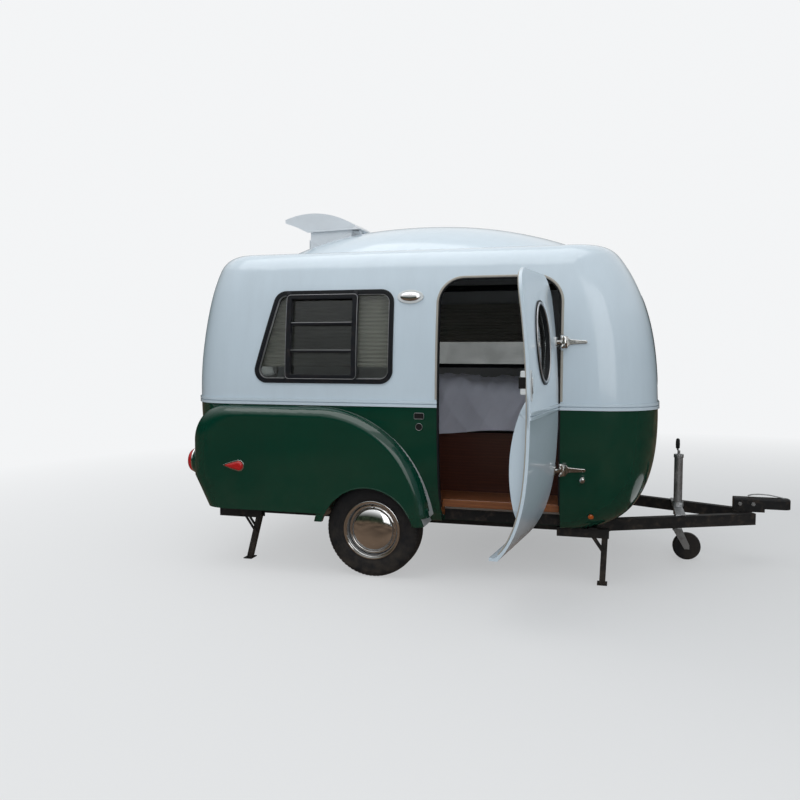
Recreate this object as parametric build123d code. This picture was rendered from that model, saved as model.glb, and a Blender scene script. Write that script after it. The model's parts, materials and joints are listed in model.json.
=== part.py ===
"""Compact moulded camping trailer, parked on its wheels, tongue jack and four corner stands.

Lengths are millimetres. The model is laid out with X forward from the axle, Y to the left side
and Z up from the floor, and every node is shifted on export so that the origin is the centre of
the tow ball in the coupler.
"""
import os
from math import asin, atan2, cos, degrees, hypot, pi, sin

from build123d import *

# Moulded body: plan outlines from the bottom edge up to the roof plane
# columns: height, rear end, front end, half width, plan corner radius
HULL = (
    (350, -1125, 1380, 842, 240),
    (450, -1190, 1540, 910, 284),
    (600, -1246, 1630, 964, 314),
    (820, -1275, 1683, 994, 331),
    (1090, -1287, 1692, 1002, 335),
    (1350, -1279, 1676, 994, 332),
    (1600, -1248, 1632, 972, 324),
    (1830, -1199, 1545, 938, 312),
    (2040, -1124, 1392, 890, 300),
)
ROOF_EDGE = 175
WALL = 30
BELT_Z = 1070
BEAD_HEIGHT = 17
BEAD_PITCH = 22
BEAD_PROUD = 9

# Raised roof: arched sections from the rear to the front, standing inside the roof
# columns: station, half width at the base, crest height
HUMP = (
    (-1000, 380, 1985),
    (-900, 545, 2062),
    (-700, 640, 2160),
    (-420, 682, 2238),
    (130, 695, 2282),
    (760, 675, 2222),
    (1110, 590, 2125),
    (1340, 400, 1985),
)
HUMP_BASE = 1960

# Wheels
TYRE_R = 297
TYRE_WIDTH = 185
TYRE_SHOULDER = 38
TYRE_WAIST_R = 236
BEAD_HALF = 70
RIM_R = 182
RIM_BARREL_R = 168
RIM_WALL = 8
BEAD_GAP = 0.3
TRACK_HALF = 900
DISC_OUT = 48
DISC_THICK = 8
RING_INNER_R = 158
RING_FLAT_R = 164
CAP_R = 151
CAP_BULGE = 48
CAP_SKIN = 3
HUB_R = 62
HUB_LENGTH = 110
SPINDLE_R = 20
SPINDLE_GAP = 0.06

# Fenders, built of sections that step outward over a rounded shoulder
FENDER_Y = 1070
FENDER_INBOARD = 620
FENDER_SHOULDER = 95
FENDER_TOP_INSET = 72
FENDER_REAR_INSET = 165
FENDER_STEPS = 4
FENDER_BOTTOM = 400
FENDER_FOOT_Z = 330
FENDER_TOP = 1066
FENDER_REAR = -1212
FENDER_REAR_FOOT = -1077
FENDER_KNEE_Z = 600
FENDER_FRONT = 352
FENDER_FRONT_FOOT = 372
FENDER_SWEEP_R = 705
FENDER_CORNER_R = 240
FENDER_SKIN = 15
ARCH_X = -10
ARCH_Z = 275
ARCH_R = 300
WELL_R = 345
WELL_SKIN = 12
WELL_INBOARD = 745
WELL_OUTBOARD = 1038

# Tail pods on the rear ends of the fenders, and lamps
POD_Y = 905
POD_Z = 680
POD_ROOT_R = 148
POD_MID_R = 104
POD_TIP_R = 85
POD_ROOT_X = -1150
POD_MID_X = -1196
POD_TIP_X = -1238
LENS_R = 80
LENS_DEPTH = 46
LENS_EDGE = 18
MARKER_FRONT = -824
MARKER_REAR = -958
MARKER_HALF = 32
MARKER_TAIL_HALF = 6
MARKER_PROUD = 20
PORCH_X = 242
PORCH_Z = 1735
PORCH_HALF_WIDTH = 82
PORCH_HALF_HEIGHT = 42
PORCH_PROUD = 24

# Side door, hinged at its front edge
DOOR_REAR = 417
DOOR_FRONT = 1141
DOOR_TOP = 1842
DOOR_CORNER_R = 150
DOOR_INNER_Y = 798
SILL_Y = 786
DOOR_GAP_LATCH = 18
DOOR_GAP_HINGE = 10
DOOR_GAP_TOP = 11
DOOR_PIVOT_X = 1150
DOOR_PIVOT_Y = -1016
DOOR_OPEN = 83
DOOR_SKIN = 16
LINER_INSET = 62
# columns: depth across, height
LINER_ARC = ((-982, 1200), (-878, 838), (-936, 500))
LINER_INNER_Y = 860
LINER_EDGE = 45
LINER_ROOT_Y = 1000
LINER_R = 110
PORT_X = 786
PORT_Z = 1455
PORT_HALF_W = 140
PORT_HALF_H = 200
PORT_RING = 24
PORT_PROUD = 6
PORT_DEPTH = 28
SEAL_THICK = 4
SEAL_OUT = 8
SEAL_IN = 44
HINGE_Z = (1460, 724)
BARREL_R = 9
PIN_R = 4.5
KNUCKLE = 22
HINGE_GAP = 0.3
STRAP_LENGTH = 132
STRAP_HALF = 11
WING_HALF = 30
WING_LENGTH = 34
STRAP_THICK = 6

# Rear hatch, hinged at its top edge
HATCH_HALF = 560
HATCH_BOTTOM = 600
HATCH_TOP = 1740
HATCH_CORNER_R = 90
HATCH_GAP = 7
HATCH_GAP_TOP = 16
HATCH_PIVOT_X = -1248
HATCH_PIVOT_Z = 1744
HATCH_HINGE_Y = 330

# Windows
FRAME_WIDTH = 28
FRAME_PROUD = 8
FRAME_IN = 34
GLASS_OUT = 18
GLASS_THICK = 5
GLASS_GAP = 0.3
WINDOW_CORNER_R = 82
WINDOW_BOTTOM = 1207
WINDOW_TOP = 1785
# columns: rear bottom, rear top, front
RIGHT_WINDOW = (-797, -632, 140)
LEFT_WINDOW = (-100, -100, 850)
LEFT_WINDOW_BOTTOM = 1262
FRONT_WINDOW_BOTTOM = 1197
FRONT_WINDOW_TOP = 1755
MULLION_X = (-545, -108)
MULLION_WIDTH = 34
MULLION_PROUD = 14
MULLION_SEAT = 4
SASH_PROUD = 4
SASH_BAR_Z = (1576, 1405)
SASH_BAR_HEIGHT = 15
FRONT_WINDOW_HALF = 540
REAR_WINDOW_HALF = 440
REAR_WINDOW_BOTTOM = 1170
REAR_WINDOW_TOP = 1640
BLIND_Y = 868
BLIND_PITCH = 26
BLIND_DEPTH = 8
BLIND_SHEET = 2
BLIND_RAIL = 22
BLIND_MARGIN = 12
BLIND_SEAT = 120
RIGHT_BLIND_BOTTOM = 1306
LEFT_BLIND_BOTTOM = 1476

# Chassis
RAIL_Y = 550
RAIL_WIDTH = 50
RAIL_TOP = 350
RAIL_HEIGHT = 75
RAIL_REAR = -1080
RAIL_BEND = 1290
RAIL_TIP = 2330
RAIL_TIP_Y = 62
CROSS_X = (-1055, -620, 430, 1255)
CROSS_WIDTH = 50
OUTRIGGER_X = (-1000, -868, 1180, 1330)
OUTRIGGER_END = 790
BALL_X = 2520
BALL_Z = 405
SOCKET_R = 25.6
SOCKET_MOUTH = 372
COUPLER_TOP = 442
COUPLER_REAR = 2210
COUPLER_HALF = 40

# Axle
BEAM_X = 130
BEAM_SIZE = 60
BEAM_HALF = 743
ARM_THICK = 26
ARM_R = 34

# Corner stands
# columns: pivot station, how far the foot lies behind the pivot
STANDS = {"rear": (-868, 77), "front": (1400, 12)}
STAND_PIVOT_Z = 300
STAND_Y = 745
STAND_SIZE = 36
STAND_HEAD = 8
STAND_PIN_R = 7
KNEE_PIN_R = 5
PIN_GAP = 0.06
FOOT_LENGTH = 60
FOOT_WIDTH = 84
FOOT_THICK = 6
BRACE_AT = 0.36
BRACE_SPAN = 160
BRACE_SIZE = 16
BAR_GAP = 1
BAR_THICK = 4
ANCHOR_RISE = 24
CHANNEL_GAP = 1.5
CHANNEL_WALL = 4
CHANNEL_LOW = -16
CHANNEL_LENGTH = 285
OUTRIGGER_BOTTOM = 338

# Tongue jack
JACK_X = 1862
JACK_TUBE_R = 28
JACK_BORE_R = 22.4
JACK_LEG_R = 22
JACK_TOP = 690
JACK_TUBE_BOTTOM = 304
JACK_SEAT = 20
JACK_WHEEL_R = 90
JACK_WHEEL_WIDTH = 56
JACK_TRAIL = 62
JACK_PLATE_Z = 205
JACK_PLATE_R = 30
JACK_PLATE_THICK = 8
JACK_LEG_TOP = 430
JACK_STEM_R = 9
JACK_AXLE_R = 8
JACK_CHEEK = 5
CLAMP_HALF = 30
CLAMP_THICK = 10
COLLAR_LENGTH = 30
CAP_LENGTH = 22

# Roof vent
VENT_REAR = -715
VENT_FRONT = -395
VENT_HALF = 190
VENT_WALL = 10
VENT_ROOT_Z = 1990
VENT_TOP = 2268
VENT_REAR_TOP = 2205
SCREEN_Z = 2190
SCREEN_THICK = 6
SCREEN_SEAT = 2
EAR_Y = (120, 160)
EAR_LOW = 2215
LID_PIVOT_X = -345
LID_PIVOT_Z = 2266
LID_HALF = 206
LID_SKIN = 5
LID_KNUCKLE_R = 8
LID_PIN_R = 4
LID_PIN_END = 170
LID_TIP = (-896, 2355)
LID_CROWN = (-655, 2392)
LID_NOSE = 14
LID_SKIRT = ((-400, 2268), (-724, 2258), (-800, 2296), (-896, 2331))
LID_DROP = 60

# Cabin
FLOOR_TOP = 445
BUNK_REAR = -400
BUNK_FRONT = 1600
BUNK_SIDE = -300
BUNK_TOP = 850
MATTRESS_TOP = 1160
MATTRESS_EDGE = 60

NODES = {}


def solids_of(shape):
    """The separate solids of a shape."""
    return [Solid(s.wrapped) for s in shape.solids()]


def group(*shapes):
    """Several solids that don't touch, as one node."""
    return Compound(children=[s for shape in shapes for s in solids_of(shape)])


def mirrored(shape):
    """The same piece on the other side."""
    return mirror(shape, about=Plane.XZ)


def add(name, *shapes):
    """Keep a node under its name."""
    NODES[name] = shapes[0] if len(shapes) == 1 else group(*shapes)


def block(x0, x1, y0, y1, z0, z1):
    """A box between two corners."""
    return Pos((x0 + x1) / 2, (y0 + y1) / 2, (z0 + z1) / 2) * Box(x1 - x0, y1 - y0, z1 - z0)


def rod(axis, centre, radius, start, end):
    """A cylinder along X, Y or Z between two stations of that axis."""
    length = end - start
    turn = {"X": Rot(0, 90, 0), "Y": Rot(-90, 0, 0), "Z": Rot(0, 0, 0)}[axis]
    middle = list(centre)
    middle["XYZ".index(axis)] = (start + end) / 2
    return Pos(*middle) * turn * Cylinder(radius, length)


def side_prism(outline, y0, y1):
    """An XZ outline extruded between two stations across the body."""
    return extrude(Plane.XZ.offset(-y0) * outline, amount=-(y1 - y0))


def end_prism(outline, x0, x1):
    """A YZ outline extruded between two stations along the body."""
    return extrude(Plane.YZ.offset(x0) * outline, amount=x1 - x0)


def polygon(*corners):
    """A flat face through its corners."""
    return make_face(Polyline(*corners, close=True))


def hull(inset=0):
    """The body's outer form, drawn in by inset on every side."""
    sections = []
    for row, (height, rear, front, half, corner) in enumerate(HULL):
        lift = inset if row == 0 else -inset if row == len(HULL) - 1 else 0
        outline = RectangleRounded(front - rear - 2 * inset, 2 * (half - inset), corner - inset)
        sections.append(Pos((front + rear) / 2, 0, height + lift) * outline)
    body = loft(sections)
    roof = body.faces().sort_by(Axis.Z)[-1]
    return fillet(roof.edges(), ROOF_EDGE - inset)


def hump(inset=0):
    """The raised roof, as arched sections standing on a common base."""
    sections = []
    for row, (station, half, crest) in enumerate(HUMP):
        shift = inset if row == 0 else -inset if row == len(HUMP) - 1 else 0
        ends = (-half + inset, HUMP_BASE), (half - inset, HUMP_BASE)
        arch = ThreePointArc(ends[0], (0, crest - inset), ends[1])
        face = make_face([arch.edge(), Line(ends[1], ends[0]).edge()])
        sections.append(Plane.YZ.offset(station + shift) * face)
    return loft(sections)


def hull_at(inset, made={}):
    """The hull at an inset, made once."""
    if inset not in made:
        made[inset] = hull(inset)
    return made[inset]


def in_wall(prism, outer, inner):
    """The part of a prism between two insets of the hull."""
    return (prism & hull_at(outer)) - hull_at(inner)


def door_outline(latch=0, hinge=0, top=0, bottom=300):
    """The doorway's XZ outline, drawn in at the latch side, hinge side and top."""
    corners = ((DOOR_REAR + latch, bottom), (DOOR_FRONT - hinge, bottom),
               (DOOR_FRONT - hinge, DOOR_TOP - top), (DOOR_REAR + latch, DOOR_TOP - top))
    face = polygon(*corners)
    return fillet(face.vertices().sort_by(Axis.Y)[-2:], DOOR_CORNER_R - top)


def hatch_outline(side=0, top=0):
    """The hatch's YZ outline, drawn in at the sides and bottom, and at the top."""
    height = HATCH_TOP - top - HATCH_BOTTOM - side
    middle = (HATCH_TOP - top + HATCH_BOTTOM + side) / 2
    return Pos(0, middle) * RectangleRounded(2 * (HATCH_HALF - side), height, HATCH_CORNER_R - side)


def side_window_outline(rear_bottom, rear_top, front, bottom=WINDOW_BOTTOM):
    """A side window's XZ outline."""
    face = polygon((rear_bottom, bottom), (front, bottom), (front, WINDOW_TOP), (rear_top, WINDOW_TOP))
    return fillet(face.vertices(), WINDOW_CORNER_R)


def end_window_outline(half, bottom, top):
    """A front or rear window's YZ outline."""
    return Pos(0, (bottom + top) / 2) * RectangleRounded(2 * half, top - bottom, WINDOW_CORNER_R)


def window(outline, prism):
    """A window's hole, frame ring and glass in the wall; prism turns an outline into a solid."""
    hole = prism(outline)
    clear = prism(offset(outline, -FRAME_WIDTH))
    pane = prism(offset(outline, -FRAME_WIDTH - GLASS_GAP))
    frame = in_wall(hole - clear, -FRAME_PROUD, FRAME_IN)
    glass = in_wall(pane, GLASS_OUT, GLASS_OUT + GLASS_THICK)
    return hole, frame, glass


def right_side(outline):
    """An XZ outline carried through the right wall."""
    return side_prism(outline, -1100, -700)


def left_side(outline):
    """An XZ outline carried through the left wall."""
    return side_prism(outline, 700, 1100)


def front_end(outline):
    """A YZ outline carried through the front wall."""
    return end_prism(outline, 1350, 1800)


def rear_end(outline):
    """A YZ outline carried through the rear wall."""
    return end_prism(outline, -1400, -1000)


def fender_outline(rise, rear):
    """The fender's XZ outline, drawn in at the top and front, and at the rear."""
    face = polygon(
        (FENDER_REAR_FOOT + rear, FENDER_FOOT_Z),
        (FENDER_FRONT_FOOT - rise, FENDER_FOOT_Z),
        (FENDER_FRONT - rise, FENDER_TOP - rise),
        (FENDER_REAR + rear, FENDER_TOP - rise),
        (FENDER_REAR + rear, FENDER_KNEE_Z),
    )
    front_top = face.vertices().filter_by(lambda v: v.Y > FENDER_TOP - rise - 1).sort_by(Axis.X)[-1]
    face = fillet(front_top, FENDER_SWEEP_R - rise)
    rear_top = face.vertices().filter_by(lambda v: v.Y > FENDER_TOP - rise - 1).sort_by(Axis.X)[0]
    return fillet(rear_top, FENDER_CORNER_R - rise)


def fender(skin=0):
    """The left fender's solid, drawn in by its skin's thickness."""
    shoulder = FENDER_Y - FENDER_SHOULDER
    base = side_prism(fender_outline(skin, skin), FENDER_INBOARD, shoulder)
    sections = []
    for step in range(FENDER_STEPS + 1):
        turn = pi / 2 * step / FENDER_STEPS
        station = shoulder + (FENDER_SHOULDER - skin) * sin(turn)
        rise = skin + (FENDER_TOP_INSET - skin) * (1 - cos(turn))
        rear = skin + (FENDER_REAR_INSET - skin) * (1 - cos(turn))
        sections.append(Plane.XZ.offset(-station) * fender_outline(rise, rear))
    return base + loft(sections)


def pod(skin=0):
    """The flared tail pod on a fender's rear end."""
    profile = make_face([
        Line((POD_ROOT_X + 60, 0), (POD_ROOT_X + 60, POD_ROOT_R - skin)).edge(),
        Line((POD_ROOT_X + 60, POD_ROOT_R - skin), (POD_ROOT_X, POD_ROOT_R - skin)).edge(),
        ThreePointArc((POD_ROOT_X, POD_ROOT_R - skin), (POD_MID_X, POD_MID_R - skin),
                      (POD_TIP_X + skin, POD_TIP_R - skin)).edge(),
        Line((POD_TIP_X + skin, POD_TIP_R - skin), (POD_TIP_X + skin, 0)).edge(),
        Line((POD_TIP_X + skin, 0), (POD_ROOT_X + 60, 0)).edge(),
    ])
    return Pos(0, POD_Y, POD_Z) * revolve(profile, axis=Axis.X)


def make_shells():
    """The upper and lower mouldings with their openings."""
    outer = hull_at(0) + hump(0)
    inner = hull_at(WALL) + hump(WALL)
    tall = 4000
    above = block(-tall, tall, -tall, tall, BELT_Z, tall)
    below = block(-tall, tall, -tall, tall, -tall, BELT_Z)
    doorway = side_prism(door_outline(), -1300, -SILL_Y)
    hatchway = rear_end(hatch_outline())
    holes = [HOLES[name] for name in ("right", "left", "front")]
    upper = (outer & above) - inner - doorway - hatchway - vent_hole()
    for hole in holes:
        upper -= hole
    skins = fender(0) + pod(0) - (fender(FENDER_SKIN) + pod(FENDER_SKIN))
    skins -= block(-tall, tall, -tall, tall, -tall, FENDER_BOTTOM)
    skins -= hull_at(WALL / 2)
    arch = rod("Y", (ARCH_X, 0, ARCH_Z), ARCH_R, WELL_OUTBOARD, FENDER_Y + 20)
    tub = rod("Y", (0, 0, ARCH_Z), WELL_R + WELL_SKIN, WELL_INBOARD - WELL_SKIN, FENDER_Y)
    tub &= block(-tall, tall, 0, tall, HULL[0][0], tall) & (fender(1) + hull_at(1))
    well = rod("Y", (0, 0, ARCH_Z), WELL_R, WELL_INBOARD, WELL_OUTBOARD)
    lower = (outer & below) - inner
    for side in (lambda s: s, mirrored):
        lower = lower + side(skins) + side(tub) - side(well) - side(arch)
    lower = lower - doorway - hatchway
    return upper, lower


def vent_hole():
    """The square hole through the raised roof under the vent."""
    inner = VENT_WALL
    return block(VENT_REAR + inner, VENT_FRONT - inner, -VENT_HALF + inner, VENT_HALF - inner, 1800, 2400)


def make_belt():
    """Twin beads around the body at the joint of its mouldings, as body, door and hatch lengths."""
    beads = []
    for row in range(2):
        base = BELT_Z + row * BEAD_PITCH
        slab = block(-2000, 2000, -1500, 1500, base, base + BEAD_HEIGHT)
        beads.append(in_wall(slab, -BEAD_PROUD, 0))
    return group(*beads)


def ring_of(outline_prism, bead):
    """The part of the beads inside a prism."""
    return bead & outline_prism


def open_door(shape):
    """Turn a piece of the closed door to the position that it is parked in."""
    return shape.rotate(Axis((DOOR_PIVOT_X, DOOR_PIVOT_Y, 0), (0, 0, 1)), DOOR_OPEN)


def liner_outline(inset):
    """The door liner's XZ outline."""
    low, high = LINER_ARC[-1][1], LINER_ARC[0][1]
    rear, front = DOOR_REAR + LINER_INSET + inset, DOOR_FRONT - LINER_INSET - inset
    outline = RectangleRounded(front - rear, high - low - inset, LINER_R - inset / 2)
    return Pos((rear + front) / 2, (low + high) / 2) * outline


def make_door(bead):
    """The side door's pieces, closed."""
    outline = door_outline(DOOR_GAP_LATCH, DOOR_GAP_HINGE, DOOR_GAP_TOP)
    prism = side_prism(outline, -1300, -DOOR_INNER_Y)
    port = Pos(PORT_X, PORT_Z) * Ellipse(PORT_HALF_W, PORT_HALF_H)
    rim = Pos(PORT_X, PORT_Z) * Ellipse(PORT_HALF_W + PORT_RING, PORT_HALF_H + PORT_RING)
    skin = in_wall(prism, 0, DOOR_SKIN) + ring_of(prism, bead) - right_side(rim)
    ring = in_wall(right_side(rim) - right_side(port), -PORT_PROUD, PORT_DEPTH)
    pane = Pos(PORT_X, PORT_Z) * Ellipse(PORT_HALF_W - GLASS_GAP, PORT_HALF_H - GLASS_GAP)
    glass = in_wall(right_side(pane), GLASS_OUT, GLASS_OUT + GLASS_THICK)
    root = Plane.XZ.offset(LINER_ROOT_Y) * liner_outline(0)
    liner = loft([root, Plane.XZ.offset(LINER_INNER_Y) * liner_outline(LINER_EDGE)])
    outside = (-LINER_ROOT_Y, LINER_ARC[-1][1]), (-LINER_ROOT_Y, LINER_ARC[0][1])
    lens = make_face([
        ThreePointArc(*LINER_ARC).edge(),
        Line(LINER_ARC[-1], outside[0]).edge(),
        Line(*outside).edge(),
        Line(outside[1], LINER_ARC[0]).edge(),
    ])
    liner = liner & end_prism(lens, DOOR_REAR, DOOR_FRONT) & hull_at(DOOR_SKIN)
    return skin, ring, glass, liner


HOLES = {}


def make_windows():
    """Frames, panes and blinds of the body's windows."""
    makers = (
        ("right", side_window_outline(*RIGHT_WINDOW), right_side),
        ("left", side_window_outline(*LEFT_WINDOW, LEFT_WINDOW_BOTTOM), left_side),
        ("front", end_window_outline(FRONT_WINDOW_HALF, FRONT_WINDOW_BOTTOM, FRONT_WINDOW_TOP), front_end),
    )
    for name, outline, prism in makers:
        hole, frame, glass = window(outline, prism)
        HOLES[name] = hole
        if name == "right":
            frame += right_mullions(outline)
        else:
            middle = 0 if name == "front" else (LEFT_WINDOW[0] + LEFT_WINDOW[2]) / 2
            height = WINDOW_TOP - FRONT_WINDOW_BOTTOM
            post = Pos(middle, WINDOW_TOP - height / 2) * Rectangle(MULLION_WIDTH, height)
            post = prism(post) & prism(offset(outline, -MULLION_SEAT))
            frame += in_wall(post, -FRAME_PROUD / 2, GLASS_OUT - GLASS_GAP)
        add(f"{name}_window_frame", frame)
        add(f"{name}_window_glass", glass)
    top = WINDOW_TOP - BLIND_RAIL
    right = pleats(RIGHT_WINDOW[0], RIGHT_WINDOW[2] - BLIND_MARGIN, RIGHT_BLIND_BOTTOM, top, -1)
    left = pleats(LEFT_WINDOW[0] - BLIND_MARGIN, LEFT_WINDOW[2] + BLIND_MARGIN, LEFT_BLIND_BOTTOM, top, 1)
    add("blinds", right, left)


def right_mullions(outline):
    """The bars over the right window's glass."""
    bars = None
    within = right_side(offset(outline, -MULLION_SEAT))
    low, high = WINDOW_BOTTOM, WINDOW_TOP
    for x in MULLION_X:
        bar = right_side(Pos(x, (low + high) / 2) * Rectangle(MULLION_WIDTH, high - low)) & within
        bar = in_wall(bar, -MULLION_PROUD, GLASS_OUT - GLASS_GAP)
        bars = bar if bars is None else bars + bar
    for z in SASH_BAR_Z:
        span = MULLION_X[1] - MULLION_X[0]
        bar = right_side(Pos(sum(MULLION_X) / 2, z) * Rectangle(span, SASH_BAR_HEIGHT))
        bars += in_wall(bar, -SASH_PROUD, GLASS_OUT - GLASS_GAP)
    return bars


def pleats(x0, x1, z0, z1, side):
    """A pleated blind: one zigzag sheet hanging behind a side window."""
    count = round((z1 - z0) / BLIND_PITCH)
    pitch = (z1 - z0) / count
    front = [(-BLIND_DEPTH / 2 * (-1) ** i, z0 + i * pitch / 2) for i in range(2 * count + 1)]
    back = [(y + BLIND_SHEET, z) for y, z in reversed(front)]
    sheet = extrude(Plane.YZ.offset(x0) * polygon(*front, *back), amount=x1 - x0)
    rail = block(x0, x1, -BLIND_DEPTH / 2, BLIND_SEAT, z1 - BLIND_SHEET / 2, z1 + BLIND_RAIL)
    rail = Pos(0, BLIND_Y, 0) * rail & hull_at(FRAME_IN + GLASS_GAP)
    blind = Pos(0, BLIND_Y, 0) * sheet + rail
    return blind if side > 0 else mirrored(blind)


def make_hatch(bead):
    """The rear hatch: upper and lower skins, window frame and glass."""
    prism = rear_end(hatch_outline(HATCH_GAP, HATCH_GAP_TOP))
    outline = end_window_outline(REAR_WINDOW_HALF, REAR_WINDOW_BOTTOM, REAR_WINDOW_TOP)
    hole, frame, glass = window(outline, rear_end)
    panel = in_wall(prism, 0, WALL)
    upper = (panel & block(-2000, 0, -2000, 2000, BELT_Z, 3000)) + ring_of(prism, bead) - hole
    lower = panel & block(-2000, 0, -2000, 2000, 0, BELT_Z)
    return upper, lower, frame, glass


def hinge_pair(axis_x, axis_y, z):
    """A winged strap hinge on an upright pin: body half and door half, door closed."""
    h = KNUCKLE / 2
    outer = []
    for sign in (-1, 1):
        low, high = sorted((z + sign * (h + HINGE_GAP), z + sign * (h + HINGE_GAP + KNUCKLE)))
        outer.append(rod("Z", (axis_x, axis_y, 0), BARREL_R, low, high))
    pin = rod("Z", (axis_x, axis_y, 0), PIN_R, z - h - KNUCKLE, z + h + KNUCKLE)
    reach = STRAP_LENGTH
    fin = polygon((axis_x + 8, z - WING_HALF), (axis_x + WING_LENGTH, z - STRAP_HALF),
                  (axis_x + reach - 22, z - STRAP_HALF * 0.8), (axis_x + reach, z - 3),
                  (axis_x + reach, z + 3), (axis_x + reach - 22, z + STRAP_HALF * 0.8),
                  (axis_x + WING_LENGTH, z + STRAP_HALF), (axis_x + 8, z + WING_HALF))
    strap = in_wall(side_prism(fin, -1200, -900), -STRAP_THICK, 0)
    arm = block(axis_x, axis_x + 30, axis_y - 6, -900, z - h - KNUCKLE, z + h + KNUCKLE)
    arm = arm - hull_at(0)
    arm -= rod("Z", (axis_x, axis_y, 0), BARREL_R + 1, z - h - HINGE_GAP, z + h + HINGE_GAP)
    arm -= block(axis_x - 1, axis_x + BARREL_R + 1, axis_y - 40, axis_y + 40,
                 z - h - HINGE_GAP, z + h + HINGE_GAP)
    body_half = strap + arm + outer[0] + outer[1] + pin
    knuckle = rod("Z", (axis_x, axis_y, 0), BARREL_R, z - h, z + h)
    leaf = block(axis_x - 42, axis_x, axis_y - 6, -900, z - h, z + h) - hull_at(0)
    leaf -= rod("Z", (axis_x, axis_y, 0), BARREL_R - 1, z - h, z + h)
    plate = block(axis_x - 48, axis_x - 18, -1200, -900, z - WING_HALF, z + WING_HALF)
    plate = in_wall(plate, -STRAP_THICK, 0)
    door_half = knuckle + leaf + plate
    door_half -= rod("Z", (axis_x, axis_y, 0), PIN_R + 0.05, z - h - 1, z + h + 1)
    return body_half, door_half


def hatch_hinge(y):
    """A hatch hinge on a pin across the body: body half and hatch half."""
    h = KNUCKLE / 2
    axis_x, axis_z = HATCH_PIVOT_X, HATCH_PIVOT_Z
    outer = [rod("Y", (axis_x, 0, axis_z), BARREL_R, y + h + HINGE_GAP, y + h + HINGE_GAP + KNUCKLE),
             rod("Y", (axis_x, 0, axis_z), BARREL_R, y - h - HINGE_GAP - KNUCKLE, y - h - HINGE_GAP)]
    pin = rod("Y", (axis_x, 0, axis_z), PIN_R, y - h - KNUCKLE, y + h + KNUCKLE)
    leaf = block(axis_x, -1000, y - h - KNUCKLE, y + h + KNUCKLE, axis_z, axis_z + 46)
    leaf = in_wall(leaf, -STRAP_THICK, 0)
    web = block(axis_x - 4, -1000, y - h - KNUCKLE, y + h + KNUCKLE, axis_z - 4, axis_z + 10) - hull_at(0)
    notch = block(axis_x - 20, -1000, y - h - HINGE_GAP, y + h + HINGE_GAP,
                  axis_z - 20, axis_z + BARREL_R + 1)
    body_half = (leaf + web - notch) + outer[0] + outer[1] + pin
    knuckle = rod("Y", (axis_x, 0, axis_z), BARREL_R, y - h, y + h)
    tab = block(axis_x - 6, -1000, y - h, y + h, axis_z - 44, axis_z - 4) - hull_at(0)
    tab &= block(axis_x - 6, axis_x + 40, y - h, y + h, axis_z - 44, axis_z)
    hatch_half = knuckle + tab
    hatch_half -= rod("Y", (axis_x, 0, axis_z), PIN_R + 0.05, y - h - 1, y + h + 1)
    return body_half, hatch_half


def make_seal():
    """Rubber lining of the doorway, above the floor."""
    lining = in_wall(side_prism(door_outline(bottom=FLOOR_TOP), -1300, -SILL_Y), SEAL_OUT, SEAL_IN)
    return lining - side_prism(door_outline(SEAL_THICK, SEAL_THICK, SEAL_THICK), -1400, -SILL_Y + 50)


def ribbon(points, width):
    """A mitred strip of constant width along a path in plan."""
    half = width / 2
    sides = ([], [])
    for i, (x, y) in enumerate(points):
        turns = []
        for a, b in ((i - 1, i), (i, i + 1)):
            if 0 <= a and b < len(points):
                dx, dy = points[b][0] - points[a][0], points[b][1] - points[a][1]
                turns.append((-dy / hypot(dx, dy), dx / hypot(dx, dy)))
        nx, ny = sum(t[0] for t in turns), sum(t[1] for t in turns)
        scale = half / hypot(nx, ny) / (hypot(nx, ny) / len(turns)) if len(turns) > 1 else half
        sides[0].append((x + nx * scale, y + ny * scale))
        sides[1].append((x - nx * scale, y - ny * scale))
    return polygon(*sides[0], *reversed(sides[1]))


def make_chassis():
    """Rails that bend into the tongue, cross members, outriggers and the coupler."""
    base = RAIL_TOP - RAIL_HEIGHT
    path = ((RAIL_REAR, RAIL_Y), (RAIL_BEND, RAIL_Y), (RAIL_TIP, RAIL_TIP_Y))
    rail = extrude(Pos(0, 0, base) * ribbon(path, RAIL_WIDTH), amount=RAIL_HEIGHT)
    add("frame_rails", rail, mirrored(rail))
    inner = RAIL_Y - RAIL_WIDTH / 2
    half = CROSS_WIDTH / 2
    members = [block(x - half, x + half, -inner, inner, base + 15, RAIL_TOP) for x in CROSS_X]
    outer = RAIL_Y + RAIL_WIDTH / 2
    for x in OUTRIGGER_X:
        for side in (-1, 1):
            low, high = sorted((side * outer, side * OUTRIGGER_END))
            members.append(block(x - half, x + half, low, high, OUTRIGGER_BOTTOM, RAIL_TOP))
    add("frame_crossmembers", *members)
    plate = block(COUPLER_REAR, RAIL_TIP + 70, -COUPLER_HALF, COUPLER_HALF, RAIL_TOP, RAIL_TOP + 8)
    channel = block(COUPLER_REAR, BALL_X, -COUPLER_HALF, COUPLER_HALF, SOCKET_MOUTH, COUPLER_TOP)
    channel = fillet(channel.edges().filter_by(Axis.X).group_by(Axis.Z)[-1], 16)
    nose = rod("Z", (BALL_X, 0, 0), COUPLER_HALF, SOCKET_MOUTH, COUPLER_TOP)
    nose = fillet(nose.edges().sort_by(Axis.Z)[-1], 16)
    socket = rod("Z", (BALL_X, 0, 0), SOCKET_R, SOCKET_MOUTH - 1, BALL_Z + SOCKET_R)
    post = block(COUPLER_REAR, RAIL_TIP + 70, -COUPLER_HALF, COUPLER_HALF, RAIL_TOP, SOCKET_MOUTH + 1)
    add("coupler", plate + channel + nose + post - socket)


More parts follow.
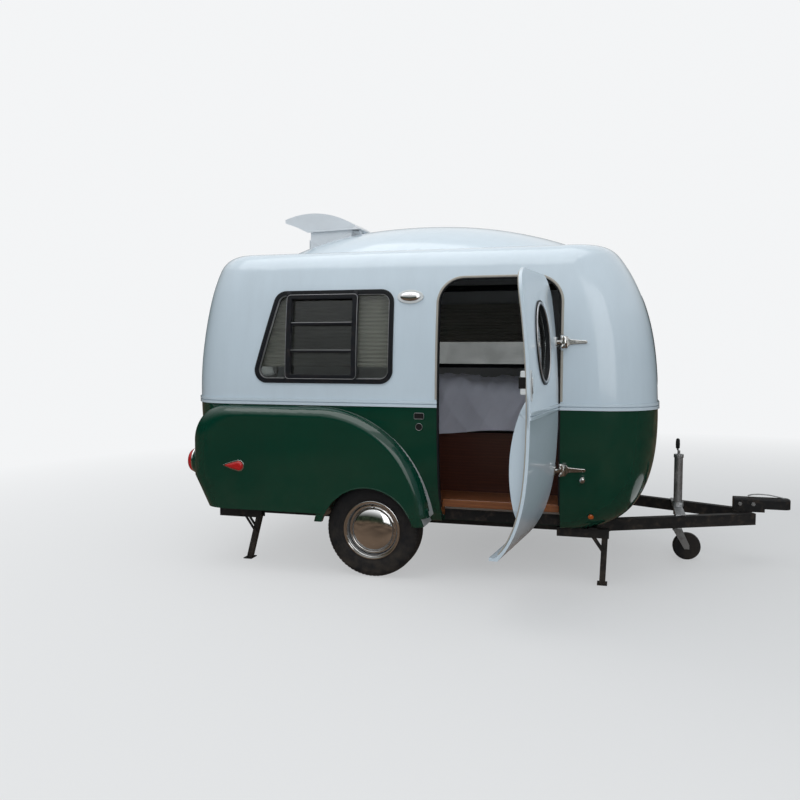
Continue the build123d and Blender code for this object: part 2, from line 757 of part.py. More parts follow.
def make_axle():
    """The square axle beam with its trailing arms, spindles and seats."""
    top = RAIL_TOP - RAIL_HEIGHT
    beam_z = top - BEAM_SIZE / 2
    beam = block(BEAM_X - BEAM_SIZE / 2, BEAM_X + BEAM_SIZE / 2, -BEAM_HALF, BEAM_HALF,
                 top - BEAM_SIZE, top)
    add("axle_beam", beam)
    arms = []
    hub_z = TYRE_R
    for side in (lambda s: s, mirrored):
        length = hypot(BEAM_X, hub_z - beam_z)
        plate = SlotCenterToCenter(length, 2 * ARM_R)
        angle = -slope(hub_z - beam_z, BEAM_X)
        plate = Pos(BEAM_X / 2, (beam_z + hub_z) / 2) * Rot(0, 0, angle) * plate
        arm = side_prism(plate, BEAM_HALF, BEAM_HALF + ARM_THICK)
        spindle = rod("Y", (0, 0, hub_z), SPINDLE_R, BEAM_HALF + ARM_THICK - 2, TRACK_HALF + 30)
        arms.append(side(arm + spindle))
    add("torsion_arms", *arms)


def slope(rise, run):
    """The slope angle of a line in degrees."""
    return degrees(atan2(rise, run))


def cap_arc(edge, radius, bulge):
    """A spherical cap's profile from its rim to the axis."""
    ball = (radius ** 2 + bulge ** 2) / (2 * bulge)
    middle = asin(radius / ball) / 2
    return [ThreePointArc((edge, radius), (edge + bulge - ball * (1 - cos(middle)), ball * sin(middle)),
                          (edge + bulge, 0)).edge()]


def make_wheel(name, side):
    """One road wheel: tyre, rim, trim ring, hub cap and hub."""
    half = TYRE_WIDTH / 2

    def place(shape):
        """Put a wheel piece, made outward along +Y about the hub, on its side."""
        moved = Pos(0, TRACK_HALF, TYRE_R) * shape
        return moved if side > 0 else mirrored(moved)

    def turned(face):
        """Revolve a YZ profile of width and radius about the spindle."""
        return revolve(Plane.YZ * face, axis=Axis.Y)

    bore = RIM_BARREL_R + BEAD_GAP
    section = polygon((-BEAD_HALF, bore), (BEAD_HALF, bore), (BEAD_HALF + 9, bore + 24), (half, TYRE_WAIST_R),
                      (half, TYRE_R), (-half, TYRE_R), (-half, TYRE_WAIST_R), (-BEAD_HALF - 9, bore + 24))
    corners = section.vertices().sort_by(Axis.Y)
    section = fillet(corners[-2:], TYRE_SHOULDER)
    section = fillet([v for v in section.vertices() if abs(v.Y - TYRE_WAIST_R) < 0.01], 22)
    add(f"{name}_tyre", place(turned(section)))
    rim_half = half - 14
    barrel = Pos(0, RIM_BARREL_R - RIM_WALL / 2) * Rectangle(2 * rim_half, RIM_WALL)
    disc = polygon((DISC_OUT - DISC_THICK, HUB_R - 12), (DISC_OUT, HUB_R - 12), (DISC_OUT, CAP_R - 4),
                   (DISC_OUT - 26, RIM_BARREL_R - RIM_WALL + 1), (DISC_OUT - 34, RIM_BARREL_R - RIM_WALL + 1),
                   (DISC_OUT - DISC_THICK, CAP_R - 8))
    lip = half - 6
    ring = polygon((rim_half + BEAD_GAP, RING_INNER_R), (lip - 3, RING_INNER_R), (lip, RING_FLAT_R),
                   (lip, RIM_R), (lip - 3, RIM_R), (rim_half + BEAD_GAP, RIM_BARREL_R - 2))
    add(f"{name}_trim_ring", place(turned(ring)))
    edge = DISC_OUT + BEAD_GAP
    dome = make_face([
        *cap_arc(edge, CAP_R, CAP_BULGE),
        Line((edge + CAP_BULGE, 0), (edge + CAP_BULGE - CAP_SKIN, 0)).edge(),
        *cap_arc(edge, CAP_R - CAP_SKIN, CAP_BULGE - CAP_SKIN),
        Line((edge, CAP_R - CAP_SKIN), (edge, CAP_R)).edge(),
    ])
    dome = turned(dome)
    add(f"{name}_hubcap", place(dome))
    hub_face = DISC_OUT - DISC_THICK + 1
    hub = rod("Y", (0, 0, 0), HUB_R, hub_face - HUB_LENGTH, hub_face)
    bore = rod("Y", (0, 0, 0), SPINDLE_R + SPINDLE_GAP, hub_face - HUB_LENGTH - 1, hub_face + 20)
    add(f"{name}_rim", place(turned(barrel) + turned(disc) + hub - bore))


def brace_anchor(knee):
    """Where the knee brace's upper pin lies in the base channel, from the leg's pivot."""
    return (knee[0] - (BRACE_SPAN ** 2 - (ANCHOR_RISE - knee[1]) ** 2) ** 0.5, ANCHOR_RISE)


def make_stand(end, side):
    """One corner stand: leg and foot, the knee brace of two bars, and the base channel over them."""
    pivot_x, lean = STANDS[end]
    length = hypot(lean, STAND_PIVOT_Z)
    half = STAND_SIZE / 2
    bar_in = half + BAR_GAP
    bar_out = bar_in + BAR_THICK
    ear = bar_out + CHANNEL_GAP
    outer = ear + CHANNEL_WALL

    def place(shape):
        """Put a piece, made about the left leg's pivot, in its corner."""
        moved = Pos(pivot_x, STAND_Y, STAND_PIVOT_Z) * shape
        return moved if side > 0 else mirrored(moved)

    leg = Rot(0, slope(lean, STAND_PIVOT_Z), 0) * block(-half, half, -half, half, -length, STAND_HEAD)
    leg &= block(-400, 400, -half, half, -STAND_PIVOT_Z + FOOT_THICK - 1, 40)
    leg += block(-lean - FOOT_LENGTH / 2, -lean + FOOT_LENGTH / 2, -FOOT_WIDTH / 2, FOOT_WIDTH / 2,
                 -STAND_PIVOT_Z, -STAND_PIVOT_Z + FOOT_THICK)
    knee = (-lean * BRACE_AT, -STAND_PIVOT_Z * BRACE_AT)
    leg += rod("Y", (knee[0], 0, knee[1]), KNEE_PIN_R, -bar_out, bar_out)
    leg -= rod("Y", (0, 0, 0), STAND_PIN_R + PIN_GAP, -half - 1, half + 1)
    anchor = brace_anchor(knee)
    turn = slope(anchor[1] - knee[1], anchor[0] - knee[0])
    bar = Pos((anchor[0] + knee[0]) / 2, (anchor[1] + knee[1]) / 2) * Rot(0, 0, turn)
    bar = bar * SlotCenterToCenter(BRACE_SPAN, BRACE_SIZE)
    brace = rod("Y", (anchor[0], 0, anchor[1]), KNEE_PIN_R, -bar_out, bar_out)
    brace += side_prism(bar, bar_in, bar_out)
    brace += side_prism(bar, -bar_out, -bar_in)
    brace -= rod("Y", (knee[0], 0, knee[1]), KNEE_PIN_R + PIN_GAP, -outer, outer)
    top = OUTRIGGER_BOTTOM - STAND_PIVOT_Z
    base = block(-CHANNEL_LENGTH, half + 6, -outer, outer, CHANNEL_LOW, top)
    base -= block(-CHANNEL_LENGTH - 1, half + 7, -ear, ear, CHANNEL_LOW - 1, top - CHANNEL_WALL)
    base += rod("Y", (0, 0, 0), STAND_PIN_R, -outer, outer)
    name = f"{'left' if side > 0 else 'right'}_{end}"
    add(f"{name}_stand_leg", place(leg))
    add(f"{name}_stand_brace", place(brace))
    return place(base)


def tongue_y(station):
    """How far a tongue member's centre line lies from the middle at a station."""
    return RAIL_Y + (RAIL_TIP_Y - RAIL_Y) * (station - RAIL_BEND) / (RAIL_TIP - RAIL_BEND)


def make_jack():
    """The tongue jack: outer tube, sliding leg, castor fork and wheel."""
    top = RAIL_TOP
    centre = (JACK_X, 0, 0)
    reach = tongue_y(JACK_X) + JACK_SEAT
    clamp = block(JACK_X - CLAMP_HALF, JACK_X + CLAMP_HALF, -reach, reach, top, top + CLAMP_THICK)
    tube = rod("Z", centre, JACK_TUBE_R, JACK_TUBE_BOTTOM, JACK_TOP)
    collar = rod("Z", centre, JACK_TUBE_R + 10, top + CLAMP_THICK, top + CLAMP_THICK + COLLAR_LENGTH)
    cap = rod("Z", centre, JACK_TUBE_R + 4, JACK_TOP, JACK_TOP + CAP_LENGTH)
    bore = rod("Z", centre, JACK_BORE_R, JACK_TUBE_BOTTOM - 1, JACK_TOP - 8)
    add("jack_tube", clamp + tube + collar + cap - bore)
    leg = rod("Z", centre, JACK_LEG_R, JACK_PLATE_Z, JACK_LEG_TOP)
    leg = leg + rod("Z", centre, JACK_PLATE_R, JACK_PLATE_Z, JACK_PLATE_Z + JACK_PLATE_THICK)
    leg -= rod("Z", centre, JACK_STEM_R + PIN_GAP, JACK_PLATE_Z - 1, JACK_PLATE_Z + 40)
    add("jack_leg", leg)
    crown = JACK_PLATE_Z - HINGE_GAP
    half = JACK_WHEEL_WIDTH / 2
    outer = half + 4 + JACK_CHEEK
    axle_x, axle_z = JACK_X + JACK_TRAIL, JACK_WHEEL_R
    fork = block(JACK_X - CLAMP_HALF, JACK_X + CLAMP_HALF, -outer, outer, crown - 6, crown)
    cheek = polygon((JACK_X - CLAMP_HALF, crown), (JACK_X + CLAMP_HALF, crown), (axle_x + 16, axle_z + 12),
                    (axle_x + 16, axle_z - 16), (axle_x - 16, axle_z - 16))
    fork = fork + side_prism(cheek, outer - JACK_CHEEK, outer) + side_prism(cheek, -outer, JACK_CHEEK - outer)
    fork = fork + rod("Z", centre, JACK_STEM_R, crown - 3, JACK_PLATE_Z + 36)
    fork = fork + rod("Y", (axle_x, 0, axle_z), JACK_AXLE_R, -outer, outer)
    add("jack_fork", fork)
    wheel = rod("Y", (axle_x, 0, axle_z), JACK_WHEEL_R, -half, half)
    wheel = fillet(wheel.edges().filter_by(GeomType.CIRCLE), 12)
    wheel -= rod("Y", (axle_x, 0, axle_z), JACK_AXLE_R + PIN_GAP, -half - 1, half + 1)
    add("jack_wheel", wheel)


def make_vent():
    """The roof vent's collar with its ears and screen, and its lid."""
    roof = hull_at(0) + hump(0)
    inner_x = VENT_REAR + VENT_WALL, VENT_FRONT - VENT_WALL
    inner_y = VENT_HALF - VENT_WALL
    outer = block(VENT_REAR, VENT_FRONT, -VENT_HALF, VENT_HALF, VENT_ROOT_Z, VENT_TOP)
    hollow = block(*inner_x, -inner_y, inner_y, VENT_ROOT_Z - 90, VENT_TOP + 90)
    low_rear = block(VENT_REAR - 1, inner_x[0], -VENT_HALF - 1, VENT_HALF + 1, VENT_REAR_TOP, VENT_TOP + 90)
    seat = VENT_WALL - SCREEN_SEAT
    screen = block(inner_x[0] - seat, inner_x[1] + seat, -inner_y - seat, inner_y + seat,
                   SCREEN_Z, SCREEN_Z + SCREEN_THICK)
    base = outer - hollow - low_rear - roof
    base = base + (screen - roof)
    hinge = (LID_PIVOT_X, 0, LID_PIVOT_Z)
    for y0, y1 in (EAR_Y, (-EAR_Y[1], -EAR_Y[0])):
        ear = block(VENT_FRONT - 2, LID_PIVOT_X + 10, y0, y1, EAR_LOW, LID_PIVOT_Z) - roof
        base = base + ear + rod("Y", hinge, LID_KNUCKLE_R, y0, y1)
    add("vent_base", base + rod("Y", hinge, LID_PIN_R, -LID_PIN_END, LID_PIN_END))
    nose_x = LID_PIVOT_X + LID_NOSE
    nose = (nose_x, LID_PIVOT_Z + LID_KNUCKLE_R), (nose_x, LID_PIVOT_Z + 2)
    corners = (*nose, *LID_SKIRT, LID_TIP)
    edges = [Line(*pair).edge() for pair in zip(corners, corners[1:])]
    profile = make_face([ThreePointArc(LID_TIP, LID_CROWN, nose[0]).edge(), *edges])
    solid = side_prism(profile, -LID_HALF, LID_HALF)
    inside = side_prism(profile, -LID_HALF + LID_SKIN, LID_HALF - LID_SKIN)
    lid = solid - Pos(0, 0, -LID_SKIN * 1.2) * inside - Pos(0, 0, -LID_DROP) * inside
    between = EAR_Y[0] - 1
    lid = lid + rod("Y", hinge, LID_KNUCKLE_R, -between, between)
    lid = lid + block(LID_PIVOT_X - 6, nose_x, -between, between, LID_PIVOT_Z, LID_PIVOT_Z + 10)
    return lid - rod("Y", hinge, LID_PIN_R + PIN_GAP, -LID_PIN_END - 1, LID_PIN_END + 1)


def make_cabin():
    """Floor, bunk and mattress."""
    room = hull_at(WALL)
    tubs = group(*(side(rod("Y", (0, 0, ARCH_Z), WELL_R + WELL_SKIN + 1, WELL_INBOARD - WELL_SKIN - 1, 1100))
                   for side in (lambda s: s, mirrored)))
    floor = block(-2000, 2000, -SILL_Y, SILL_Y, HULL[0][0] + WALL, FLOOR_TOP) & room
    floor = floor & block(-2000, 2000, -SILL_Y, SILL_Y, 0, 3000)
    add("floor_panel", floor - tubs)
    room_in = hull_at(WALL + 4)
    bunk = block(BUNK_REAR, BUNK_FRONT, BUNK_SIDE, 1000, FLOOR_TOP, BUNK_TOP) & room_in
    add("bunk_box", bunk - tubs)
    bed = block(BUNK_REAR + 10, BUNK_FRONT - 10, BUNK_SIDE + 10, 1000, BUNK_TOP + 0.3, MATTRESS_TOP)
    bed = bed & hull_at(WALL + 34)
    edges = bed.faces().sort_by(Axis.Z)[-1].edges()
    add("mattress", fillet(edges, MATTRESS_EDGE))


def make_lamps():
    """Tail lamps, teardrop marker lamps and the porch lamp."""
    lens = rod("X", (0, POD_Y, POD_Z), LENS_R, POD_TIP_X - LENS_DEPTH, POD_TIP_X)
    lens = fillet(lens.edges().sort_by(Axis.X)[0], LENS_EDGE)
    add("tail_lamps", lens, mirrored(lens))
    rounded = MARKER_FRONT - MARKER_HALF
    tail = (MARKER_REAR, POD_Z + MARKER_TAIL_HALF), (MARKER_REAR, POD_Z - MARKER_TAIL_HALF)
    ends = (rounded, POD_Z + MARKER_HALF), (rounded, POD_Z - MARKER_HALF)
    drop = make_face([
        ThreePointArc(ends[0], (MARKER_FRONT, POD_Z), ends[1]).edge(),
        Line(ends[1], tail[1]).edge(),
        Line(tail[1], tail[0]).edge(),
        Line(tail[0], ends[0]).edge(),
    ])
    marker = side_prism(drop, FENDER_Y, FENDER_Y + MARKER_PROUD)
    marker = fillet(marker.faces().sort_by(Axis.Y)[-1].edges(), 5)
    add("marker_lamps", marker, mirrored(marker))
    oval = Pos(PORCH_X, PORCH_Z) * Ellipse(PORCH_HALF_WIDTH, PORCH_HALF_HEIGHT)
    add("porch_lamp", in_wall(right_side(oval), -PORCH_PROUD, 0))


def main():
    """Build every node, shift it to the tow ball's centre and write it."""
    make_windows()
    upper, lower = make_shells()
    add("upper_shell", upper)
    add("lower_shell", lower)
    bead = make_belt()
    doorway = side_prism(door_outline(), -1300, -SILL_Y)
    hatchway = rear_end(hatch_outline())
    add("belt_trim", bead - doorway - hatchway)
    skin, ring, glass, liner = make_door(bead)
    body_hinges, door_hinges = zip(*(hinge_pair(DOOR_PIVOT_X, DOOR_PIVOT_Y, z) for z in HINGE_Z))
    add("door_hinges_body", *body_hinges)
    add("door_hinges_door", *(open_door(h) for h in door_hinges))
    add("door_skin", open_door(skin))
    add("door_port_ring", open_door(ring))
    add("door_port_glass", open_door(glass))
    add("door_liner", open_door(liner))
    add("door_seal", make_seal())
    upper_h, lower_h, frame_h, glass_h = make_hatch(bead)
    add("hatch_upper", upper_h)
    add("hatch_lower", lower_h)
    add("hatch_window_frame", frame_h)
    add("hatch_window_glass", glass_h)
    pairs = [hatch_hinge(y) for y in (-HATCH_HINGE_Y, HATCH_HINGE_Y)]
    add("hatch_hinges_body", *(p[0] for p in pairs))
    add("hatch_hinges_hatch", *(p[1] for p in pairs))
    add("vent_lid", make_vent())
    make_chassis()
    make_axle()
    make_wheel("left", 1)
    make_wheel("right", -1)
    brackets = [make_stand(end, side) for end in ("rear", "front") for side in (-1, 1)]
    add("stand_brackets", *brackets)
    make_jack()
    make_cabin()
    make_lamps()
    os.makedirs("parts", exist_ok=True)
    for name, shape in NODES.items():
        moved = Pos(-BALL_X, 0, -BALL_Z) * shape
        export_step(Compound(children=solids_of(moved)), f"parts/{name}.step")


main()
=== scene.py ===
"""Looks of a compact moulded camping trailer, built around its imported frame.

Stations are measured as on the trailer itself: metres forward of the axle, to the left of the
middle and above the ground. The frame's own origin, the tow ball, has a known place among them.
"""
import json
import logging
from collections.abc import Callable, Sequence
from dataclasses import dataclass
from enum import Enum
from math import cos, pi, radians, sin

import bmesh
import bpy
import numpy as np
from mathutils import Matrix

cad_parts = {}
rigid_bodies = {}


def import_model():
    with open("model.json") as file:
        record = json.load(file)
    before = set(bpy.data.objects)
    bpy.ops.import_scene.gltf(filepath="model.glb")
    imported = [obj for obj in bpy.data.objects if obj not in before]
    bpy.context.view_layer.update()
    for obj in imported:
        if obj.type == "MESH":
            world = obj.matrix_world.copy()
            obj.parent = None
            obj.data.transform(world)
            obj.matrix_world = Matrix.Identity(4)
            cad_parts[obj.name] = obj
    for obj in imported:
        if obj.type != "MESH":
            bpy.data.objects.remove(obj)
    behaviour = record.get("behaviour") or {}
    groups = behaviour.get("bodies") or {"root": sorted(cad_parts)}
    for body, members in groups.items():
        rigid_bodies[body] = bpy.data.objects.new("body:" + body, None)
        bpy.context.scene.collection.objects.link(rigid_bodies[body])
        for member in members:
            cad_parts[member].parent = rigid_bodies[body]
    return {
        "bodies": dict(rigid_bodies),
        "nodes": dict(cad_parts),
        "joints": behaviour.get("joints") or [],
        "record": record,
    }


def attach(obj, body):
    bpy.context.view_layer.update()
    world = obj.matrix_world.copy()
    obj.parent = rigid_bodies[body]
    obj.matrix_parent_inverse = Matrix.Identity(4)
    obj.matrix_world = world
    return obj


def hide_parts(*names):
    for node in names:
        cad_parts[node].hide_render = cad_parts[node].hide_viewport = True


LOG = logging.getLogger("trailer")
TOW_BALL = np.array((2.520, 0.0, 0.405))
MERGE = 1e-5
TINY = 1e-12
UP = (0.0, 0.0, 1.0)

Colour = tuple[float, float, float]
Point = tuple[float, float, float]
Spot = tuple[float, float]
Outline = np.ndarray

FLOAT = "NodeSocketFloat"
VECTOR = "NodeSocketVector"


# Shader boards and the effects that finishes share


class Board:
    """A node tree that is being laid out."""

    def __init__(self, tree: bpy.types.NodeTree) -> None:
        """Starts on a tree as it is."""
        self.tree = tree

    def add(self, kind: str, settings: dict[str, object] | None = None, **inputs: object) -> bpy.types.Node:
        """Adds a node.

        Args:
            kind: Blender's name of the node.
            settings: Properties of the node to set.
            inputs: Values or sockets for its inputs, with underscores for spaces.

        Returns:
            The new node.
        """
        node = self.tree.nodes.new(kind)
        for name, value in (settings or {}).items():
            setattr(node, name, value)
        for name, value in inputs.items():
            self.feed(node.inputs[name.replace("_", " ")], value)
        return node

    def feed(self, socket: bpy.types.NodeSocket, value: object) -> None:
        """Gives an input its value, or links another socket to it."""
        if isinstance(value, bpy.types.NodeSocket):
            self.tree.links.new(value, socket)
        elif socket.type == "RGBA":
            socket.default_value = (*value, 1.0)
        else:
            socket.default_value = value

    def maths(self, operation: str, first: object, second: object = 0.0) -> bpy.types.NodeSocket:
        """One sum of two values or sockets, with its result held between 0 and 1."""
        node = self.add("ShaderNodeMath", {"operation": operation, "use_clamp": True})
        self.feed(node.inputs[0], first)
        self.feed(node.inputs[1], second)
        return node.outputs[0]

    def spread(self, value: object, low: object, high: object,
               to_low: object = 0.0, to_high: object = 1.0) -> bpy.types.NodeSocket:
        """A value's range from low to high, carried to another range and held there."""
        node = self.add("ShaderNodeMapRange", Value=value, From_Min=low, From_Max=high,
                        To_Min=to_low, To_Max=to_high)
        return node.outputs["Result"]

    def blend(self, share: object, first: object, second: object) -> bpy.types.NodeSocket:
        """A colour between two others, by a share."""
        node = self.add("ShaderNodeMix", {"data_type": "RGBA"})
        self.feed(node.inputs[0], share)
        self.feed(node.inputs[6], first)
        self.feed(node.inputs[7], second)
        return node.outputs[2]

    def mixed(self, share: object, first: object, second: object) -> bpy.types.NodeSocket:
        """A shader between two others, by a share."""
        node = self.add("ShaderNodeMixShader")
        for socket, value in zip(node.inputs, (share, first, second)):
            self.feed(socket, value)
        return node.outputs[0]

    def show(self, shader: bpy.types.NodeSocket) -> None:
        """Makes a shader the material's surface."""
        self.feed(self.tree.nodes["Material Output"].inputs["Surface"], shader)

    def noise(self, vector: object, scale: object, detail: float = 4.0,
              rough: float = 0.55) -> bpy.types.NodeSocket:
        """A cloudy value between 0 and 1."""
        node = self.add("ShaderNodeTexNoise", Vector=vector, Scale=scale, Detail=detail, Roughness=rough)
        return node.outputs["Fac"]

    def stretched(self, vector: object, scale: Point) -> bpy.types.NodeSocket:
        """Coordinates drawn out by a scale on each axis."""
        return self.add("ShaderNodeMapping", Vector=vector, Scale=scale).outputs["Vector"]

    def effect(self, tree: bpy.types.NodeTree, **inputs: object) -> bpy.types.Node:
        """Places a shared effect with its own values."""
        return self.add("ShaderNodeGroup", {"node_tree": tree}, **inputs)

    def bump(self, height: object, strength: float, distance: float) -> bpy.types.NodeSocket:
        """A normal that follows a height."""
        node = self.add("ShaderNodeBump", Height=height, Strength=strength, Distance=distance)
        return node.outputs["Normal"]


LayOut = Callable[[Board, bpy.types.Node, bpy.types.Node], None]


def shared(name: str, inputs: dict[str, tuple[str, object]], outputs: dict[str, str],
           lay_out: LayOut) -> bpy.types.NodeTree:
    """A shader node group, built once.

    Args:
        name: Its name.
        inputs: Each input's socket type and first value.
        outputs: Each output's socket type.
        lay_out: Lays its nodes between the group's input and output nodes.

    Returns:
        The group's tree.
    """
    made = bpy.data.node_groups.get(name)
    if made is not None:
        return made
    tree = bpy.data.node_groups.new(name, "ShaderNodeTree")
    for socket, (kind, value) in inputs.items():
        item = tree.interface.new_socket(socket, in_out="INPUT", socket_type=kind)
        if value is not None:
            item.default_value = value
    for socket, kind in outputs.items():
        tree.interface.new_socket(socket, in_out="OUTPUT", socket_type=kind)
    board = Board(tree)
    lay_out(board, board.add("NodeGroupInput"), board.add("NodeGroupOutput"))
    return tree


def road_dust() -> bpy.types.NodeTree:
    """Dust that lies thick at a low height and fades towards a high one, broken up by cloudy noise."""

    def lay_out(board: Board, given: bpy.types.Node, out: bpy.types.Node) -> None:
        """Mask = amount x fade with height x cloud."""
        height = board.add("ShaderNodeSeparateXYZ", Vector=given.outputs["Vector"]).outputs["Z"]
        fade = board.spread(height, given.outputs["Low"], given.outputs["High"], 1.0, 0.0)
        clouds = board.noise(given.outputs["Vector"], given.outputs["Scale"], 6.0, 0.6)
        cloud = board.spread(clouds, 0.35, 0.75)
        cover = board.maths("MULTIPLY", fade, cloud)
        board.feed(out.inputs["Mask"], board.maths("MULTIPLY", cover, given.outputs["Amount"]))

    inputs = {"Vector": (VECTOR, None), "Low": (FLOAT, 0.0), "High": (FLOAT, 1.0), "Scale": (FLOAT, 6.0),
              "Amount": (FLOAT, 0.5)}
    return shared("road_dust", inputs, {"Mask": FLOAT}, lay_out)


def wiping_marks() -> bpy.types.NodeTree:
    """Faint clouds and running streaks that weather and washing leave on a glossy skin."""

    def lay_out(board: Board, given: bpy.types.Node, out: bpy.types.Node) -> None:
        """Value = soft cloud x fine streaks that run down the skin."""
        drawn = board.stretched(given.outputs["Vector"], (9.0, 9.0, 1.2))
        streaks = board.noise(drawn, given.outputs["Scale"], 5.0, 0.65)
        cloud = board.noise(given.outputs["Vector"], 1.4, 3.0, 0.5)
        board.feed(out.inputs["Value"], board.spread(board.maths("MULTIPLY", streaks, cloud), 0.12, 0.42))

    inputs = {"Vector": (VECTOR, None), "Scale": (FLOAT, 1.0)}
    return shared("wiping_marks", inputs, {"Value": FLOAT}, lay_out)


def fine_grain() -> bpy.types.NodeTree:
    """Small bumps of one size, as on rubber, cast metal or moulded plastic, with sparse larger spots."""

    def lay_out(board: Board, given: bpy.types.Node, out: bpy.types.Node) -> None:
        """Height = fine noise; spots = the tops of a noise ten times coarser."""
        where, scale = given.outputs["Vector"], given.outputs["Scale"]
        board.feed(out.inputs["Height"], board.noise(where, scale, 3.0, 0.6))
        coarse = board.noise(board.stretched(where, (0.1, 0.1, 0.1)), scale, 4.0)
        board.feed(out.inputs["Spots"], board.spread(coarse, 0.52, 0.70))

    return shared("fine_grain", {"Vector": (VECTOR, None), "Scale": (FLOAT, 400.0)},
                  {"Height": FLOAT, "Spots": FLOAT}, lay_out)


def timber_figure() -> bpy.types.NodeTree:
    """The figure of sawn timber: long bands bent by slow noise, with fine pores along the board."""

    def lay_out(board: Board, given: bpy.types.Node, out: bpy.types.Node) -> None:
        """Figure = warped bands mixed with drawn-out noise; pores = very long, thin noise."""
        drawn = board.stretched(given.outputs["Vector"], (1.2, 14.0, 14.0))
        bands = board.add("ShaderNodeTexWave", {"bands_direction": "Z"}, Vector=drawn, Scale=1.1,
                          Distortion=7.0, Detail=4.0, Detail_Scale=1.6).outputs["Fac"]
        clouds = board.noise(drawn, 2.4, 6.0, 0.6)
        board.feed(out.inputs["Figure"], board.maths("MULTIPLY", board.maths("ADD", bands, clouds), 0.62))
        pores = board.noise(board.stretched(given.outputs["Vector"], (6.0, 220.0, 220.0)), 3.0, 3.0, 0.6)
        board.feed(out.inputs["Pores"], board.spread(pores, 0.52, 0.72))

    return shared("timber_figure", {"Vector": (VECTOR, None)}, {"Figure": FLOAT, "Pores": FLOAT}, lay_out)


def plain_weave() -> bpy.types.NodeTree:
    """Crossed threads: two sets of narrow bands, with slubs from noise."""

    def lay_out(board: Board, given: bpy.types.Node, out: bpy.types.Node) -> None:
        """Height = bands along one axis x bands along another; slubs = stretched noise."""
        threads = []
        for direction in ("X", "Z"):
            wave = board.add("ShaderNodeTexWave", {"bands_direction": direction},
                             Vector=given.outputs["Vector"], Scale=given.outputs["Threads"], Distortion=0.4)
            threads.append(wave.outputs["Fac"])
        board.feed(out.inputs["Height"], board.maths("MULTIPLY", *threads))
        slubs = board.noise(board.stretched(given.outputs["Vector"], (4.0, 4.0, 40.0)), 8.0, 4.0, 0.6)
        board.feed(out.inputs["Slubs"], board.spread(slubs, 0.4, 0.7))

    return shared("plain_weave", {"Vector": (VECTOR, None), "Threads": (FLOAT, 300.0)},
                  {"Height": FLOAT, "Slubs": FLOAT}, lay_out)


# Finishes


@dataclass
class Draft:
    """A material being made: its board, its shader and the piece's own coordinates."""

    material: bpy.types.Material
    board: Board
    shader: bpy.types.Node
    where: bpy.types.NodeSocket

    @classmethod
    def begin(cls, name: str) -> "Draft":
        """Starts a material with a Principled shader."""
        material = bpy.data.materials.new(name)
        material.use_nodes = True
        board = Board(material.node_tree)
        shader = material.node_tree.nodes["Principled BSDF"]
        return cls(material, board, shader, board.add("ShaderNodeTexCoord").outputs["Object"])

    def give(self, **inputs: object) -> None:
        """Sets or links inputs of the shader, with underscores for spaces."""
        for name, value in inputs.items():
            self.board.feed(self.shader.inputs[name.replace("_", " ")], value)

    def dust(self, low: float, high: float, amount: float, scale: float = 6.0) -> bpy.types.NodeSocket:
        """The mask of road dust between two heights above the ground.

        Args:
            low: Height up to which it lies thick.
            high: Height where it ends.
            amount: Its most, from 0 to 1.
            scale: Scale of the noise that breaks it up.

        Returns:
            The mask's socket.
        """
        ground = -TOW_BALL[2]
        node = self.board.effect(road_dust(), Vector=self.where, Low=low + ground, High=high + ground,
                                 Scale=scale, Amount=amount)
        return node.outputs["Mask"]


DUST: Colour = (0.23, 0.18, 0.13)


def shaded(colour: Colour, share: float) -> Colour:
    """A colour with each of its parts multiplied by a share."""
    return tuple(share * part for part in colour)


class Recipe:
    """How a material is made. A finish says what lies on its board."""

    def build(self, name: str) -> bpy.types.Material:
        """Makes the material."""
        draft = Draft.begin(name)
        self.lay(draft, draft.board)
        return draft.material

    def lay(self, draft: Draft, board: Board) -> None:
        """Lays the finish's nodes on the board and gives the shader its inputs.

        Args:
            draft: The material being made.
            board: Its board.
        """
        raise NotImplementedError


@dataclass(frozen=True)
class Gelcoat(Recipe):
    """Glossy moulded skin with a faint ripple, wiping marks and a little dust low down."""

    colour: Colour
    roughness: float = 0.12
    dust: float = 0.25
    dust_from: float = 0.40
    dust_to: float = 0.80
    gloss: float = 0.5

    def lay(self, draft: Draft, board: Board) -> None:
        """Skin over clouds and streaks, then dust over the skin."""
        marks = board.effect(wiping_marks(), Vector=draft.where, Scale=1.0).outputs["Value"]
        dust = draft.dust(self.dust_from, self.dust_to, self.dust)
        skin = board.blend(marks, self.colour, shaded(self.colour, 0.93))
        rough = board.spread(marks, 0.0, 1.0, self.roughness, self.roughness + 0.10)
        ripple = board.noise(draft.where, 9.0, 2.0, 0.4)
        draft.give(
            Base_Color=board.blend(dust, skin, DUST),
            Roughness=board.maths("ADD", rough, board.maths("MULTIPLY", dust, 0.5)),
            Normal=board.bump(ripple, 0.05, 0.01),
            Coat_Weight=self.gloss,
            Coat_Roughness=0.04,
        )


